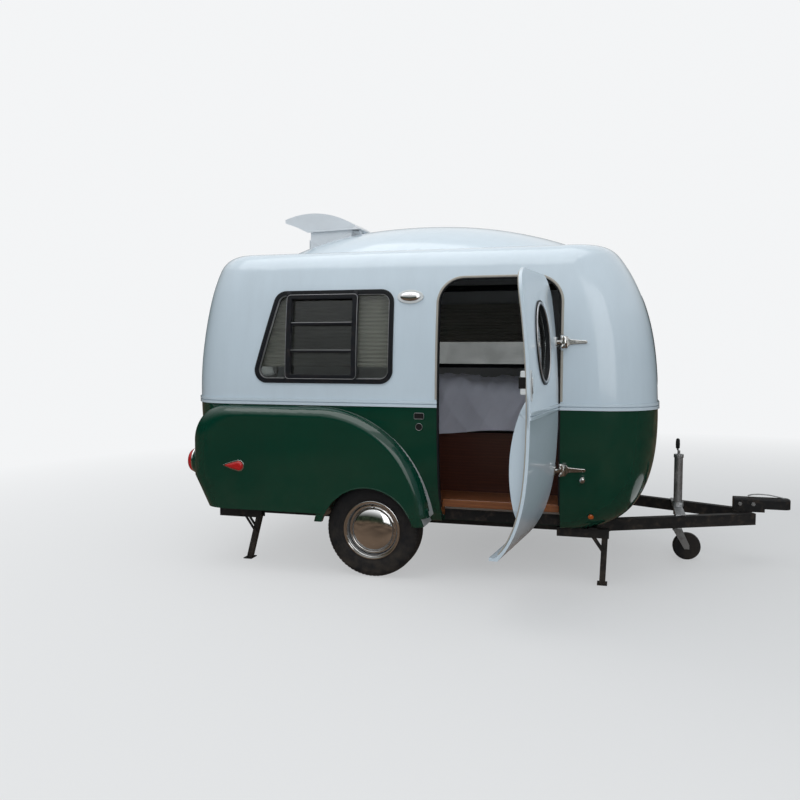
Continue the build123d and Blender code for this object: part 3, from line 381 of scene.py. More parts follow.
@dataclass(frozen=True)
class Painted(Recipe):
    """Painted or plated steel with a fine grain, dull spots and dust."""

    colour: Colour
    metallic: float = 0.0
    roughness: float = 0.45
    spot: Colour = (0.10, 0.07, 0.05)
    spots: float = 0.35
    dust: float = 0.35

    def lay(self, draft: Draft, board: Board) -> None:
        """Paint with dull spots, then dust, which also take away the metal's shine."""
        grain = board.effect(fine_grain(), Vector=draft.where, Scale=260.0)
        spots = board.maths("MULTIPLY", grain.outputs["Spots"], self.spots)
        dust = draft.dust(0.0, 0.42, self.dust, 9.0)
        skin = board.blend(spots, self.colour, self.spot)
        draft.give(
            Base_Color=board.blend(dust, skin, DUST),
            Metallic=board.spread(board.maths("ADD", spots, dust), 0.0, 0.8, self.metallic, 0.0),
            Roughness=board.spread(board.maths("ADD", spots, dust), 0.0, 1.0, self.roughness, 0.85),
            Normal=board.bump(grain.outputs["Height"], 0.15, 0.001),
            Specular_IOR_Level=0.15,
        )


@dataclass(frozen=True)
class Plated(Recipe):
    """Polished bright metal with smudges."""

    colour: Colour = (0.80, 0.81, 0.82)
    roughness: float = 0.05
    smudge: float = 0.16

    def lay(self, draft: Draft, board: Board) -> None:
        """Bright metal, darker and rougher under its smudges."""
        smudges = board.spread(board.noise(draft.where, 22.0, 5.0, 0.6), 0.45, 0.75)
        draft.give(
            Base_Color=board.blend(smudges, self.colour, shaded(self.colour, 0.86)),
            Metallic=1.0,
            Roughness=board.spread(smudges, 0.0, 1.0, self.roughness, self.smudge),
            Normal=board.bump(board.noise(draft.where, 60.0, 2.0), 0.01, 0.002),
        )


@dataclass(frozen=True)
class Rubber(Recipe):
    """Dull rubber with a fine grain, greyed by dust."""

    colour: Colour
    roughness: float = 0.55
    dust: float = 0.4
    dust_to: float = 0.7
    grain: float = 500.0

    def lay(self, draft: Draft, board: Board) -> None:
        """Rubber with dust over it."""
        grain = board.effect(fine_grain(), Vector=draft.where, Scale=self.grain)
        dust = draft.dust(0.0, self.dust_to, self.dust, 14.0)
        draft.give(
            Base_Color=board.blend(dust, self.colour, shaded(DUST, 0.45)),
            Roughness=board.spread(dust, 0.0, 0.6, self.roughness, 0.9),
            Normal=board.bump(grain.outputs["Height"], 0.25, 0.0006),
            Specular_IOR_Level=0.15,
        )


@dataclass(frozen=True)
class Plastic(Recipe):
    """Moulded plastic with a satin grain."""

    colour: Colour
    roughness: float = 0.38
    chalk: float = 0.1

    def lay(self, draft: Draft, board: Board) -> None:
        """Plastic that cloudy noise fades a little."""
        grain = board.effect(fine_grain(), Vector=draft.where, Scale=340.0)
        cloud = board.spread(board.noise(draft.where, 5.0, 5.0, 0.6), 0.35, 0.75)
        draft.give(
            Base_Color=board.blend(cloud, self.colour, shaded(self.colour, 1 - self.chalk)),
            Roughness=board.spread(cloud, 0.0, 1.0, self.roughness, self.roughness + 0.12),
            Normal=board.bump(grain.outputs["Height"], 0.12, 0.0006),
        )


@dataclass(frozen=True)
class Pane(Recipe):
    """Clear sheet glass with a faint tint and water marks. Light passes to the room behind it."""

    tint: Colour = (0.86, 0.90, 0.88)

    def lay(self, draft: Draft, board: Board) -> None:
        """Glass with water marks; a shadow ray meets clear glass instead."""
        marks = board.spread(board.noise(draft.where, 7.0, 6.0, 0.65), 0.5, 0.8)
        draft.give(
            Base_Color=board.blend(marks, self.tint, shaded(self.tint, 0.93)),
            Roughness=board.spread(marks, 0.0, 1.0, 0.01, 0.07),
            Transmission_Weight=1.0,
            IOR=1.45,
        )
        clear = board.add("ShaderNodeBsdfTransparent", Color=(0.80, 0.83, 0.82))
        shadow = board.add("ShaderNodeLightPath").outputs["Is Shadow Ray"]
        board.show(board.mixed(shadow, draft.shader.outputs[0], clear.outputs[0]))


@dataclass(frozen=True)
class Net(Recipe):
    """Fine dark insect netting: threads with open squares between them, too small to tell apart from afar."""

    colour: Colour = (0.010, 0.010, 0.011)
    cover: float = 0.55

    def lay(self, draft: Draft, board: Board) -> None:
        """A dark cover that lets light through by its share of open squares."""
        sag = board.spread(board.noise(draft.where, 4.0, 2.0), 0.3, 0.7, self.cover - 0.06, self.cover + 0.06)
        draft.give(Base_Color=self.colour, Roughness=0.9, Alpha=sag, Specular_IOR_Level=0.0)


@dataclass(frozen=True)
class Lens(Recipe):
    """A moulded lamp lens, with rows of small prisms inside its face."""

    colour: Colour
    deep: Colour
    prisms: float = 75.0

    def lay(self, draft: Draft, board: Board) -> None:
        """Two crossed sets of bands make the prisms."""
        rows = []
        for direction in ("Y", "Z"):
            wave = board.add("ShaderNodeTexWave", {"bands_direction": direction}, Vector=draft.where,
                             Scale=self.prisms)
            rows.append(wave.outputs["Fac"])
        prisms = board.maths("MULTIPLY", *rows)
        draft.give(
            Base_Color=board.blend(prisms, self.deep, self.colour),
            Roughness=board.spread(board.noise(draft.where, 30.0), 0.4, 0.7, 0.06, 0.14),
            Normal=board.bump(prisms, 0.10, 0.001),
            Coat_Weight=1.0,
            Coat_Roughness=0.03,
        )


@dataclass(frozen=True)
class Timber(Recipe):
    """Varnished timber, its figure along the trailer."""

    light: Colour
    dark: Colour
    varnish: float = 0.6

    def lay(self, draft: Draft, board: Board) -> None:
        """Figure between a light and a dark wood, with darker pores."""
        figure = board.effect(timber_figure(), Vector=draft.where)
        body = board.blend(figure.outputs["Figure"], self.light, self.dark)
        pores = board.maths("MULTIPLY", figure.outputs["Pores"], 0.5)
        draft.give(
            Base_Color=board.blend(pores, body, shaded(self.dark, 0.4)),
            Roughness=board.spread(figure.outputs["Figure"], 0.0, 1.0, 0.28, 0.42),
            Normal=board.bump(figure.outputs["Pores"], 0.10, 0.0008),
            Coat_Weight=self.varnish,
            Coat_Roughness=0.12,
        )


@dataclass(frozen=True)
class Woven(Recipe):
    """Woven cloth with visible threads and soft fuzz."""

    colour: Colour
    threads: float = 260.0
    fuzz: float = 0.3
    unevenness: float = 0.12

    def lay(self, draft: Draft, board: Board) -> None:
        """Threads with slubs, over a cloudy change of shade."""
        weave = board.effect(plain_weave(), Vector=draft.where, Threads=self.threads)
        cloud = board.spread(board.noise(draft.where, 3.5, 5.0, 0.6), 0.3, 0.75)
        shade = shaded(self.colour, 1 - self.unevenness)
        slubs = board.maths("MULTIPLY", weave.outputs["Slubs"], 0.35)
        draft.give(
            Base_Color=board.blend(slubs, board.blend(cloud, self.colour, shade), shade),
            Roughness=board.spread(cloud, 0.0, 1.0, 0.82, 0.95),
            Normal=board.bump(weave.outputs["Height"], 0.18, 0.0006),
            Sheen_Weight=self.fuzz,
            Sheen_Roughness=0.5,
        )


class Finish(Enum):
    """The finishes on the trailer: the record's slot of each, and how its material is made."""

    WHITE = ("white_gelcoat", Gelcoat((0.665, 0.765, 0.840), dust=0.05, dust_from=0.35, dust_to=1.20))
    GREEN = ("green_gelcoat", Gelcoat((0.0008, 0.044, 0.025), roughness=0.10, dust=0.04, gloss=0.35))
    VENT = ("white_gelcoat", Plastic((0.74, 0.77, 0.80), roughness=0.30))
    LATCH = ("white_gelcoat", Plastic((0.70, 0.72, 0.72), roughness=0.34))
    FLOOR = ("floor_wood", Timber((0.34, 0.115, 0.032), (0.16, 0.045, 0.013)))
    BUNK = ("bunk_wood", Timber((0.115, 0.030, 0.014), (0.045, 0.010, 0.006), varnish=0.35))
    STEEL = ("black_steel", Painted((0.016, 0.016, 0.017)))
    GASKET = ("window_rubber", Rubber((0.012, 0.013, 0.015), roughness=0.42, dust=0.05, dust_to=2.5))
    SASH = ("window_rubber", Painted((0.014, 0.015, 0.018), roughness=0.32, spots=0.15, dust=0.0))
    ALUMINIUM = ("chrome", Painted((0.52, 0.53, 0.55), metallic=0.9, roughness=0.30, spots=0.2, dust=0.0))
    GLASS = ("window_glass", Pane())
    BLIND = ("blind_fabric", Woven((0.235, 0.225, 0.195), threads=420.0, fuzz=0.05))
    BEDDING = ("bedding", Woven((0.66, 0.67, 0.70), threads=300.0, fuzz=0.25))
    CHROME = ("chrome", Plated())
    HINGE = ("chrome", Plated((0.62, 0.62, 0.61), roughness=0.14, smudge=0.34))
    CREAM = ("white_gelcoat", Plastic((0.40, 0.37, 0.32), roughness=0.42))
    NET = ("window_rubber", Net())
    LINING = ("white_gelcoat", Woven((0.42, 0.43, 0.43), threads=90.0, fuzz=0.1))
    SMOKED = ("window_glass", Pane((0.30, 0.33, 0.33)))
    BADGE = ("window_rubber", Plastic((0.012, 0.012, 0.013), roughness=0.25))
    CLOTH = ("bedding", Woven((0.60, 0.61, 0.70), threads=160.0, fuzz=0.2))
    RED_LENS = ("red_lens", Lens((0.17, 0.004, 0.012), (0.07, 0.001, 0.004)))
    AMBER_LENS = ("red_lens", Lens((0.70, 0.16, 0.02), (0.35, 0.06, 0.01)))
    TYRE = ("tyre_rubber", Rubber((0.016, 0.016, 0.018), roughness=0.52, dust=0.55, dust_to=0.60))
    WHEEL = ("wheel_steel", Painted((0.30, 0.31, 0.32), metallic=0.6, roughness=0.38))
    ZINC = ("zinc_steel", Painted((0.36, 0.37, 0.38), metallic=0.85, roughness=0.40, spots=0.5))

    def material(self) -> bpy.types.Material:
        """The finish's material, made once."""
        name = self.name.lower()
        return bpy.data.materials.get(name) or self.value[1].build(name)

    @property
    def slot(self) -> str:
        """The record's name of the finish."""
        return self.value[0]


# Surfaces: arrays of points and faces


def quads(rows: int, columns: int, wrap_rows: bool = False, wrap_columns: bool = False) -> np.ndarray:
    """Faces of a grid of points.

    Point (i, j) has index i x columns + j, and a face joins (i, j), (i, j + 1), (i + 1, j + 1) and
    (i + 1, j). A wrapped side joins its last line to its first.

    Args:
        rows: Points one way.
        columns: Points the other way.
        wrap_rows: Whether the rows close into a ring.
        wrap_columns: Whether the columns close into a ring.

    Returns:
        An array of four corner indices for each face.
    """
    i = np.arange(rows if wrap_rows else rows - 1)
    j = np.arange(columns if wrap_columns else columns - 1)
    i, j = np.meshgrid(i, j, indexing="ij")
    down, across = (i + 1) % rows, (j + 1) % columns
    corners = (i * columns + j, i * columns + across, down * columns + across, down * columns + j)
    return np.stack(corners, axis=-1).reshape(-1, 4)


def unit(vectors: np.ndarray) -> np.ndarray:
    """Vectors brought to length one."""
    return vectors / np.maximum(np.linalg.norm(vectors, axis=-1, keepdims=True), TINY)


@dataclass
class Surface:
    """A mesh being worked out: its points and blocks of faces with equal corner counts."""

    points: np.ndarray
    faces: list[np.ndarray]

    def plus(self, *others: "Surface") -> "Surface":
        """This surface and others as one."""
        points, faces, count = [self.points], list(self.faces), len(self.points)
        for other in others:
            points.append(other.points)
            faces.extend(block + count for block in other.faces)
            count += len(other.points)
        return Surface(np.concatenate(points), faces)

    def changed(self, change: Callable[[np.ndarray], np.ndarray]) -> "Surface":
        """The same faces on points that are all moved."""
        return Surface(change(self.points), self.faces)

    def piece(self, name: str, finish: Finish, body: str, crease: float = 38.0, bevel: float = 0.0,
              levels: int = 0, flat: bool = False) -> bpy.types.Object:
        """Makes the surface an object that rides on a body.

        Args:
            name: The object's name.
            finish: What it is finished in.
            body: The body that it moves with.
            crease: Edges that turn by more degrees than this stay sharp.
            bevel: Width of the rounding on its sharp edges, in metres.
            levels: Subdivision levels.
            flat: Whether its faces are left flat.

        Returns:
            The new object.
        """
        mesh = bpy.data.meshes.new(name)
        faces = [face for block in self.faces for face in block.tolist()]
        mesh.from_pydata((self.points - TOW_BALL).tolist(), [], faces)
        clean(mesh)
        return finished(mesh, name, finish, body, crease, bevel, levels, flat)


def clean(mesh: bpy.types.Mesh, merge: float = MERGE, dissolve: float = 0.0) -> None:
    """Merges a mesh's doubles and turns its faces outwards.

    Args:
        mesh: The mesh to change.
        merge: Points nearer than this become one.
        dissolve: Faces that turn by fewer degrees than this are joined into one.
    """
    worked = bmesh.new()
    worked.from_mesh(mesh)
    bmesh.ops.remove_doubles(worked, verts=worked.verts, dist=merge)
    bmesh.ops.dissolve_degenerate(worked, edges=worked.edges, dist=merge / 4)
    if dissolve:
        bmesh.ops.dissolve_limit(worked, angle_limit=radians(dissolve), verts=worked.verts,
                                 edges=worked.edges)
    bmesh.ops.recalc_face_normals(worked, faces=worked.faces)
    worked.to_mesh(mesh)
    worked.free()


def finished(mesh: bpy.types.Mesh, name: str, finish: Finish, body: str, crease: float = 38.0,
             bevel: float = 0.0, levels: int = 0, flat: bool = False) -> bpy.types.Object:
    """Makes a mesh a finished object that rides on a body; its arguments are those of Surface.piece."""
    piece = bpy.data.objects.new(name, mesh)
    bpy.context.scene.collection.objects.link(piece)
    if not flat:
        mesh.polygons.foreach_set("use_smooth", np.ones(len(mesh.polygons), dtype=bool))
        mesh.set_sharp_from_angle(angle=radians(crease))
    if bevel:
        rounding = piece.modifiers.new("rounding", "BEVEL")
        rounding.width = bevel
        rounding.segments = 2
        rounding.limit_method = "ANGLE"
        rounding.angle_limit = radians(crease)
        rounding.harden_normals = not flat
    if levels:
        smoothing = piece.modifiers.new("smoothing", "SUBSURF")
        smoothing.levels = levels
        smoothing.render_levels = levels
    mesh.materials.clear()
    mesh.materials.append(finish.material())
    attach(piece, body)
    finish.slot
    LOG.info("%s: %d faces, on %s", name, len(mesh.polygons), body)
    return piece


def rod(start: Sequence[float], end: Sequence[float], radius: float, around: int = 32) -> Surface:
    """A round bar between two points, with closed ends."""
    start, end = np.array(start, dtype=float), np.array(end, dtype=float)
    length = float(np.linalg.norm(end - start))
    return turned([(0.0, 0.0), (0.0, radius), (length, radius), (length, 0.0)], start, end - start, around)


def swept(path: np.ndarray, outward: np.ndarray, profile: np.ndarray, closed: bool) -> Surface:
    """A closed profile carried along a path.

    At each station the tangent is the direction between its neighbours, the height direction is the
    outward one squared to it, and the side direction is their cross product. A point is the
    station + a x side + b x height.

    Args:
        path: Stations, one a row.
        outward: One direction, or one for each station.
        profile: Rows of a and b, in order around the profile.
        closed: Whether the path joins its own start.

    Returns:
        The tube, with its ends closed if the path is open.
    """
    ahead = np.roll(path, -1, axis=0) - np.roll(path, 1, axis=0) if closed else np.gradient(path, axis=0)
    ahead = unit(ahead)
    outward = np.broadcast_to(outward, path.shape)
    height = unit(outward - (outward * ahead).sum(axis=1, keepdims=True) * ahead)
    side = np.cross(ahead, height)
    ring = profile[None, :, 0, None] * side[:, None] + profile[None, :, 1, None] * height[:, None]
    points = (path[:, None] + ring).reshape(-1, 3)
    rows, columns = len(path), len(profile)
    faces = [quads(rows, columns, closed, True)]
    if not closed:
        faces.append(np.arange(columns)[None])
        faces.append((rows - 1) * columns + np.arange(columns)[None, ::-1])
    return Surface(points, faces)


def turned(profile: Sequence[tuple[float, float]], centre: Point, axis: Point, around: int = 96,
           closed: bool = False) -> Surface:
    """A profile turned about an axis.

    A point is centre + along x axis + radius x (cos t x first + sin t x second), where first and
    second are square to the axis and t runs round it in even steps.

    Args:
        profile: Pairs of distance along the axis and radius.
        centre: A point on the axis.
        axis: The axis, as a unit vector.
        around: Steps round the axis.
        closed: Whether the profile closes into a ring.

    Returns:
        The turned surface.
    """
    line = np.array(profile)
    axis = unit(np.array(axis, dtype=float))
    first = unit(np.cross(axis, UP if abs(axis[2]) < 0.9 else (1.0, 0.0, 0.0)))
    second = np.cross(axis, first)
    turn = np.arange(around) / around * 2 * pi
    spoke = np.cos(turn)[:, None] * first + np.sin(turn)[:, None] * second
    points = np.array(centre) + line[:, None, 0, None] * axis + line[:, None, 1, None] * spoke[None]
    return Surface(points.reshape(-1, 3), [quads(len(line), around, closed, True)])


def slab(low: Point, high: Point) -> Surface:
    """A plain block between two corners, to be finished with rounded edges."""
    low, high = np.array(low), np.array(high)
    picks = np.array([(0, 0, 0), (1, 0, 0), (1, 1, 0), (0, 1, 0), (0, 0, 1), (1, 0, 1), (1, 1, 1), (0, 1, 1)])
    faces = np.array([(3, 2, 1, 0), (4, 5, 6, 7), (0, 1, 5, 4), (1, 2, 6, 5), (2, 3, 7, 6), (3, 0, 4, 7)])
    return Surface(low + picks * (high - low), [faces])


# Outlines


def rounded(corners: Sequence[tuple[float, float]], radii: Sequence[float], steps: int = 12) -> Outline:
    """A closed outline with rounded corners.

    A corner's arc starts and ends where its circle touches the two sides, at radius / tan(half the
    corner's angle) from the corner. Its centre lies on the corner's bisector.

    Args:
        corners: The corners in order.
        radii: A radius for each corner.
        steps: Steps along each arc.

    Returns:
        Points around the outline.
    """
    arcs = []
    corners = np.array(corners, dtype=float)
    for before, corner, after, radius in zip(np.roll(corners, 1, 0), corners, np.roll(corners, -1, 0), radii):
        back, ahead = unit(before - corner), unit(after - corner)
        half = np.arccos(np.clip(back @ ahead, -1, 1)) / 2
        centre = corner + unit(back + ahead) * radius / np.sin(half)
        start = corner + back * radius / np.tan(half) - centre
        end = corner + ahead * radius / np.tan(half) - centre
        first, last = np.arctan2(start[1], start[0]), np.arctan2(end[1], end[0])
        sweep = (last - first + pi) % (2 * pi) - pi
        turn = first + np.linspace(0, 1, steps + 1) * sweep
        arcs.append(centre + radius * np.stack((np.cos(turn), np.sin(turn)), axis=1))
    return np.concatenate(arcs)


def oblong(low: Spot, high: Spot, corner: float, steps: int = 12) -> Outline:
    """A rounded oblong between its low rear corner and its high front one."""
    return rounded([low, (high[0], low[1]), high, (low[0], high[1])], [corner] * 4, steps)


def ellipse(centre: Spot, half_width: float, half_height: float, steps: int = 72) -> Outline:
    """Points around an ellipse."""
    turn = np.arange(steps) / steps * 2 * pi
    return np.stack((centre[0] + half_width * np.cos(turn), centre[1] + half_height * np.sin(turn)), axis=1)


def even(path: np.ndarray, step: float, closed: bool) -> np.ndarray:
    """A path cut into even steps along its own length.

    Args:
        path: Points, one a row.
        step: About how long a step is.
        closed: Whether the path joins its own start.

    Returns:
        The new points.
    """
    line = np.concatenate((path, path[:1])) if closed else path
    lengths = np.concatenate(([0.0], np.cumsum(np.linalg.norm(np.diff(line, axis=0), axis=1))))
    count = max(3, round(lengths[-1] / step))
    stations = np.linspace(0, lengths[-1], count + 1)
    stations = stations[:-1] if closed else stations
    return np.stack([np.interp(stations, lengths, line[:, axis]) for axis in range(line.shape[1])], axis=1)


def bead(width: float, height: float, root: float = 0.002, steps: int = 10) -> Outline:
    """A half-round profile on a shallow root: half an ellipse over a flat strip."""
    turn = np.linspace(0, pi, steps + 1)
    crown = np.stack((width / 2 * np.cos(turn), height * np.sin(turn)), axis=1)
    return np.concatenate((crown, [(-width / 2, -root), (width / 2, -root)]))


def bar(width: float, low: float, high: float, radius: float) -> Outline:
    """A rectangular profile from a low to a high level, with rounded corners."""
    half = width / 2
    return rounded([(half, low), (half, high), (-half, high), (-half, low)], [radius] * 4, 4)


def wire(radius: float, steps: int = 12) -> Outline:
    """A round profile."""
    return ellipse((0.0, 0.0), radius, radius, steps)


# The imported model


class Side(Enum):
    """A side of the trailer and the sign of its stations across."""

    LEFT = 1
    RIGHT = -1

    @property
    def word(self) -> str:
        """The side's name as the nodes have it."""
        return self.name.lower()


@dataclass
class Wall:
    """A straight stretch of the body's skin: how far out it stands at each height."""

    along: np.ndarray
    outward: np.ndarray
    heights: np.ndarray
    reach: np.ndarray

    def place(self, outline: Outline, lift: float | np.ndarray = 0.0) -> tuple[np.ndarray, np.ndarray]:
        """Lays an outline of stations and heights on the skin.

        The skin's point is station x along + reach(height) x outward + height x up, and its normal
        is outward - slope of the reach x up. Each point is lifted along its normal.

        Args:
            outline: Rows of station and height.
            lift: How far the points stand off the skin.

        Returns:
            The points and the skin's normals there.
        """
        up = np.array(UP)
        height = outline[:, 1]
        reach = np.interp(height, self.heights, self.reach)
        slope = np.interp(height, self.heights, np.gradient(self.reach, self.heights))
        normal = unit(self.outward - slope[:, None] * up)
        points = outline[:, :1] * self.along + reach[:, None] * self.outward + height[:, None] * up
        return points + np.reshape(lift, (-1, 1)) * normal, normal

    def spot(self, station: float, height: float, lift: float = 0.0) -> tuple[np.ndarray, np.ndarray]:
        """One point on the skin and the skin's normal there."""
        points, normals = self.place(np.array([(station, height)]), lift)
        return points[0], normals[0]

    def trim(self, outline: Outline, profile: Outline, closed: bool = True, lift: float = 0.0,
             step: float = 0.012) -> Surface:
        """A profile carried along an outline on the skin."""
        path, normal = self.place(even(outline, step, closed), lift)
        return swept(path, normal, profile, closed)

    def plate(self, outline: Outline, low: float, high: float) -> Surface:
        """A plate that follows the skin, between two levels above it.

        Args:
            outline: Rows of station and height.
            low: Level of its under side.
            high: Level of its face.

        Returns:
            The plate.
        """
        under, _ = self.place(outline, low)
        over, _ = self.place(outline, high)
        count = len(outline)
        side = quads(2, count, False, True)
        ends = [np.arange(count)[None, ::-1], count + np.arange(count)[None]]
        return Surface(np.concatenate((under, over)), [side, *ends])

    def dome(self, centre: Spot, half_width: float, half_height: float, low: float,
             rise: float, power: float = 2.0) -> Surface:
        """An oval dome on the skin.

        At share s of the way from the middle to the rim, its level is
        low + rise x sqrt(1 - s to the power).

        Args:
            centre: Station and height of its middle.
            half_width: Half its width.
            half_height: Half its height.
            low: Level of its rim.
            rise: How far its middle stands above its rim.
            power: 2 gives a round dome, more a flatter one.

        Returns:
            The dome.
        """
        return self.swell(ellipse(centre, half_width, half_height, 64), centre, low, rise, power)

    def swell(self, outline: Outline, centre: Spot, low: float, rise: float,
              power: float = 2.0) -> Surface:
        """A dome over any outline, by the rule of a dome, its shares counted from a point inside.

        Args:
            outline: Rows of station and height.
            centre: The point inside.
            low: Level of its rim.
            rise: How far its middle stands above its rim.
            power: As for a dome.

        Returns:
            The dome.
        """
        share = np.sin(np.linspace(0, pi / 2, 14))
        flat = share[:, None, None] * (outline - centre)[None] + centre
        level = np.repeat(low + rise * np.sqrt(np.maximum(1 - share ** power, 0)), len(outline))
        points, _ = self.place(flat.reshape(-1, 2), level)
        return Surface(points, [quads(len(share), len(outline), False, True)])


class Model:
    """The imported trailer, and what the new pieces read from it."""

    edge_room: float = 1e-6
    wall_step: float = 0.02

    def __init__(self) -> None:
        """Loads the frame."""
        self.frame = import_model()
        self.nodes = self.frame["nodes"]
        bodies = self.frame["record"]["behaviour"]["bodies"]
        self.body = {name: body for body, names in bodies.items() for name in names}

    def triangles(self, node: str) -> np.ndarray:
        """A node's triangles, as corners in the trailer's stations.

        Args:
            node: The node.

        Returns:
            An array of triangles x three corners x three coordinates.
        """
        mesh = self.nodes[node].data
        mesh.calc_loop_triangles()
        corners = np.empty(3 * len(mesh.loop_triangles), dtype=np.int32)
        mesh.loop_triangles.foreach_get("vertices", corners)
        points = np.empty(3 * len(mesh.vertices), dtype=np.float32)
        mesh.vertices.foreach_get("co", points)
        return (points.reshape(-1, 3) + TOW_BALL)[corners.reshape(-1, 3)]

    def reach(self, nodes: Sequence[str], station: float, heights: np.ndarray, axis: int,
              sign: int) -> np.ndarray:
        """How far out a skin stands along X or Y, at some heights above one station.

        A line along the axis meets a triangle where its shares of the triangle's corners, seen
        along the axis, are all positive. The farthest meeting counts.

        Args:
            nodes: The skin's nodes.
            station: The fixed coordinate square to the axis.
            heights: Heights of the lines.
            axis: 0 or 1, the axis of the lines.
            sign: 1 to read towards plus, -1 towards minus.

        Returns:
            The distance along the axis at each height.
        """
        flat = (1 - axis, 2)
        corners = np.concatenate([self.triangles(node) for node in nodes])
        across = corners[:, :, flat[0]]
        corners = corners[(across.min(axis=1) <= station) & (across.max(axis=1) >= station)]
        a, b, c = (corners[:, k][:, flat] for k in range(3))
        lines = np.stack((np.full_like(heights, station), heights), axis=1)[:, None]
        area = np.cross(b - a, c - a)
        area = np.where(np.abs(area) < TINY, np.nan, area)
        share_b = np.cross(lines - a, c - a) / area
        share_c = np.cross(b - a, lines - a) / area
        share_a = 1 - share_b - share_c
        met = np.minimum(np.minimum(share_a, share_b), share_c) >= -self.edge_room
        depth = share_a * corners[:, 0, axis] + share_b * corners[:, 1, axis] + share_c * corners[:, 2, axis]
        found = np.where(met, sign * depth, -np.inf).max(axis=1)
        good = np.isfinite(found)
        return np.interp(heights, heights[good], found[good])

    def wall(self, station: float, axis: int, sign: int, low: float, high: float,
             nodes: Sequence[str] = ("upper_shell", "lower_shell")) -> Wall:
        """The skin of some nodes over one station, as a straight stretch of wall.

        Args:
            station: The fixed coordinate square to the axis.
            axis: 0 or 1, the axis that it faces along.
            sign: 1 where it faces plus, -1 where it faces minus.
            low: Height of its foot.
            high: Height of its top.
            nodes: The skin's nodes.

        Returns:
            The wall.
        """
        heights = np.linspace(low, high, round((high - low) / self.wall_step) + 1)
        reach = self.reach(nodes, station, heights, axis, sign)
        outward = sign * np.eye(3)[axis]
        return Wall(np.eye(3)[1 - axis], outward, heights, reach)

    def refined(self, node: str, finish: Finish, crease: float = 35.0, bevel: float = 0.0,
                dissolve: float = 0.0) -> bpy.types.Object:
        """Replaces a node by a copy with merged points, smooth curves and rounded edges.

        Args:
            node: The node.
            finish: What the copy is finished in.
            crease: Edges that turn by more degrees than this stay sharp.
            bevel: Width of the rounding on them, in metres.
            dissolve: Faces that turn by fewer degrees than this are joined first.

        Returns:
            The copy.
        """
        mesh = self.nodes[node].data.copy()
        clean(mesh, MERGE, dissolve or (0.5 if bevel else 0.0))
        piece = finished(mesh, f"{node}_skin", finish, self.body[node], crease, bevel)
        if not bevel:
            even_light = piece.modifiers.new("even_light", "WEIGHTED_NORMAL")
            even_light.keep_sharp = True
            even_light.mode = "FACE_AREA_WITH_ANGLE"
        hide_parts(node)
        return piece


# Body shells


@dataclass
class Shells:
    """The two mouldings, the belt between them and the lips around the wheel arches."""

    model: Model
    arch_x: float = -0.010
    arch_z: float = 0.275
    arch_r: float = 0.300
    arch_lip: float = 0.0045
    fender_y: float = 1.0665
    arch_low: float = 0.402
    cabin_axis: tuple[float, float] = (-0.7, 0.9)
    cabin_z: float = 1.15

    def build(self) -> None:
        """Makes the shells' pieces."""
        for node, finish in (("upper_shell", Finish.WHITE), ("lower_shell", Finish.GREEN)):
            self.line(self.model.refined(node, finish, crease=32.0))
        self.model.refined("belt_trim", Finish.WHITE, crease=32.0)
        for side in Side:
            self.arch_lip_on(side)

    def line(self, shell: bpy.types.Object) -> None:
        """Gives a shell's inner faces the dark lining.

        A face is an inner one if its normal points back to the cabin's long axis.

        Args:
            shell: The shell's piece.
        """
        mesh = shell.data
        mesh.materials.append(Finish.LINING.material())
        at, normal = (np.empty(3 * len(mesh.polygons), dtype=np.float32) for _ in range(2))
        mesh.polygons.foreach_get("center", at)
        mesh.polygons.foreach_get("normal", normal)
        at = at.reshape(-1, 3) + TOW_BALL
        axis = np.zeros_like(at)
        axis[:, 0] = np.clip(at[:, 0], *self.cabin_axis)
        axis[:, 2] = self.cabin_z
        inner = ((at - axis) * normal.reshape(-1, 3)).sum(axis=1) < 0
        mesh.polygons.foreach_set("material_index", inner.astype(np.int32))

    def arch_lip_on(self, side: Side) -> None:
        """The rolled lip around a wheel arch: a wire along an arc that ends at the fender's lower edge."""
        low = np.arcsin((self.arch_low - self.arch_z) / self.arch_r)
        turn = np.linspace(low, pi - low, 72)
        across = np.full_like(turn, side.value * self.fender_y)
        path = np.stack((self.arch_x + self.arch_r * np.cos(turn), across,
                         self.arch_z + self.arch_r * np.sin(turn)), axis=1)
        lip = swept(path, np.array((0.0, side.value, 0.0)), wire(self.arch_lip), False)
        lip.piece(f"{side.word}_arch_lip", Finish.GREEN, "trailer")


# Windows


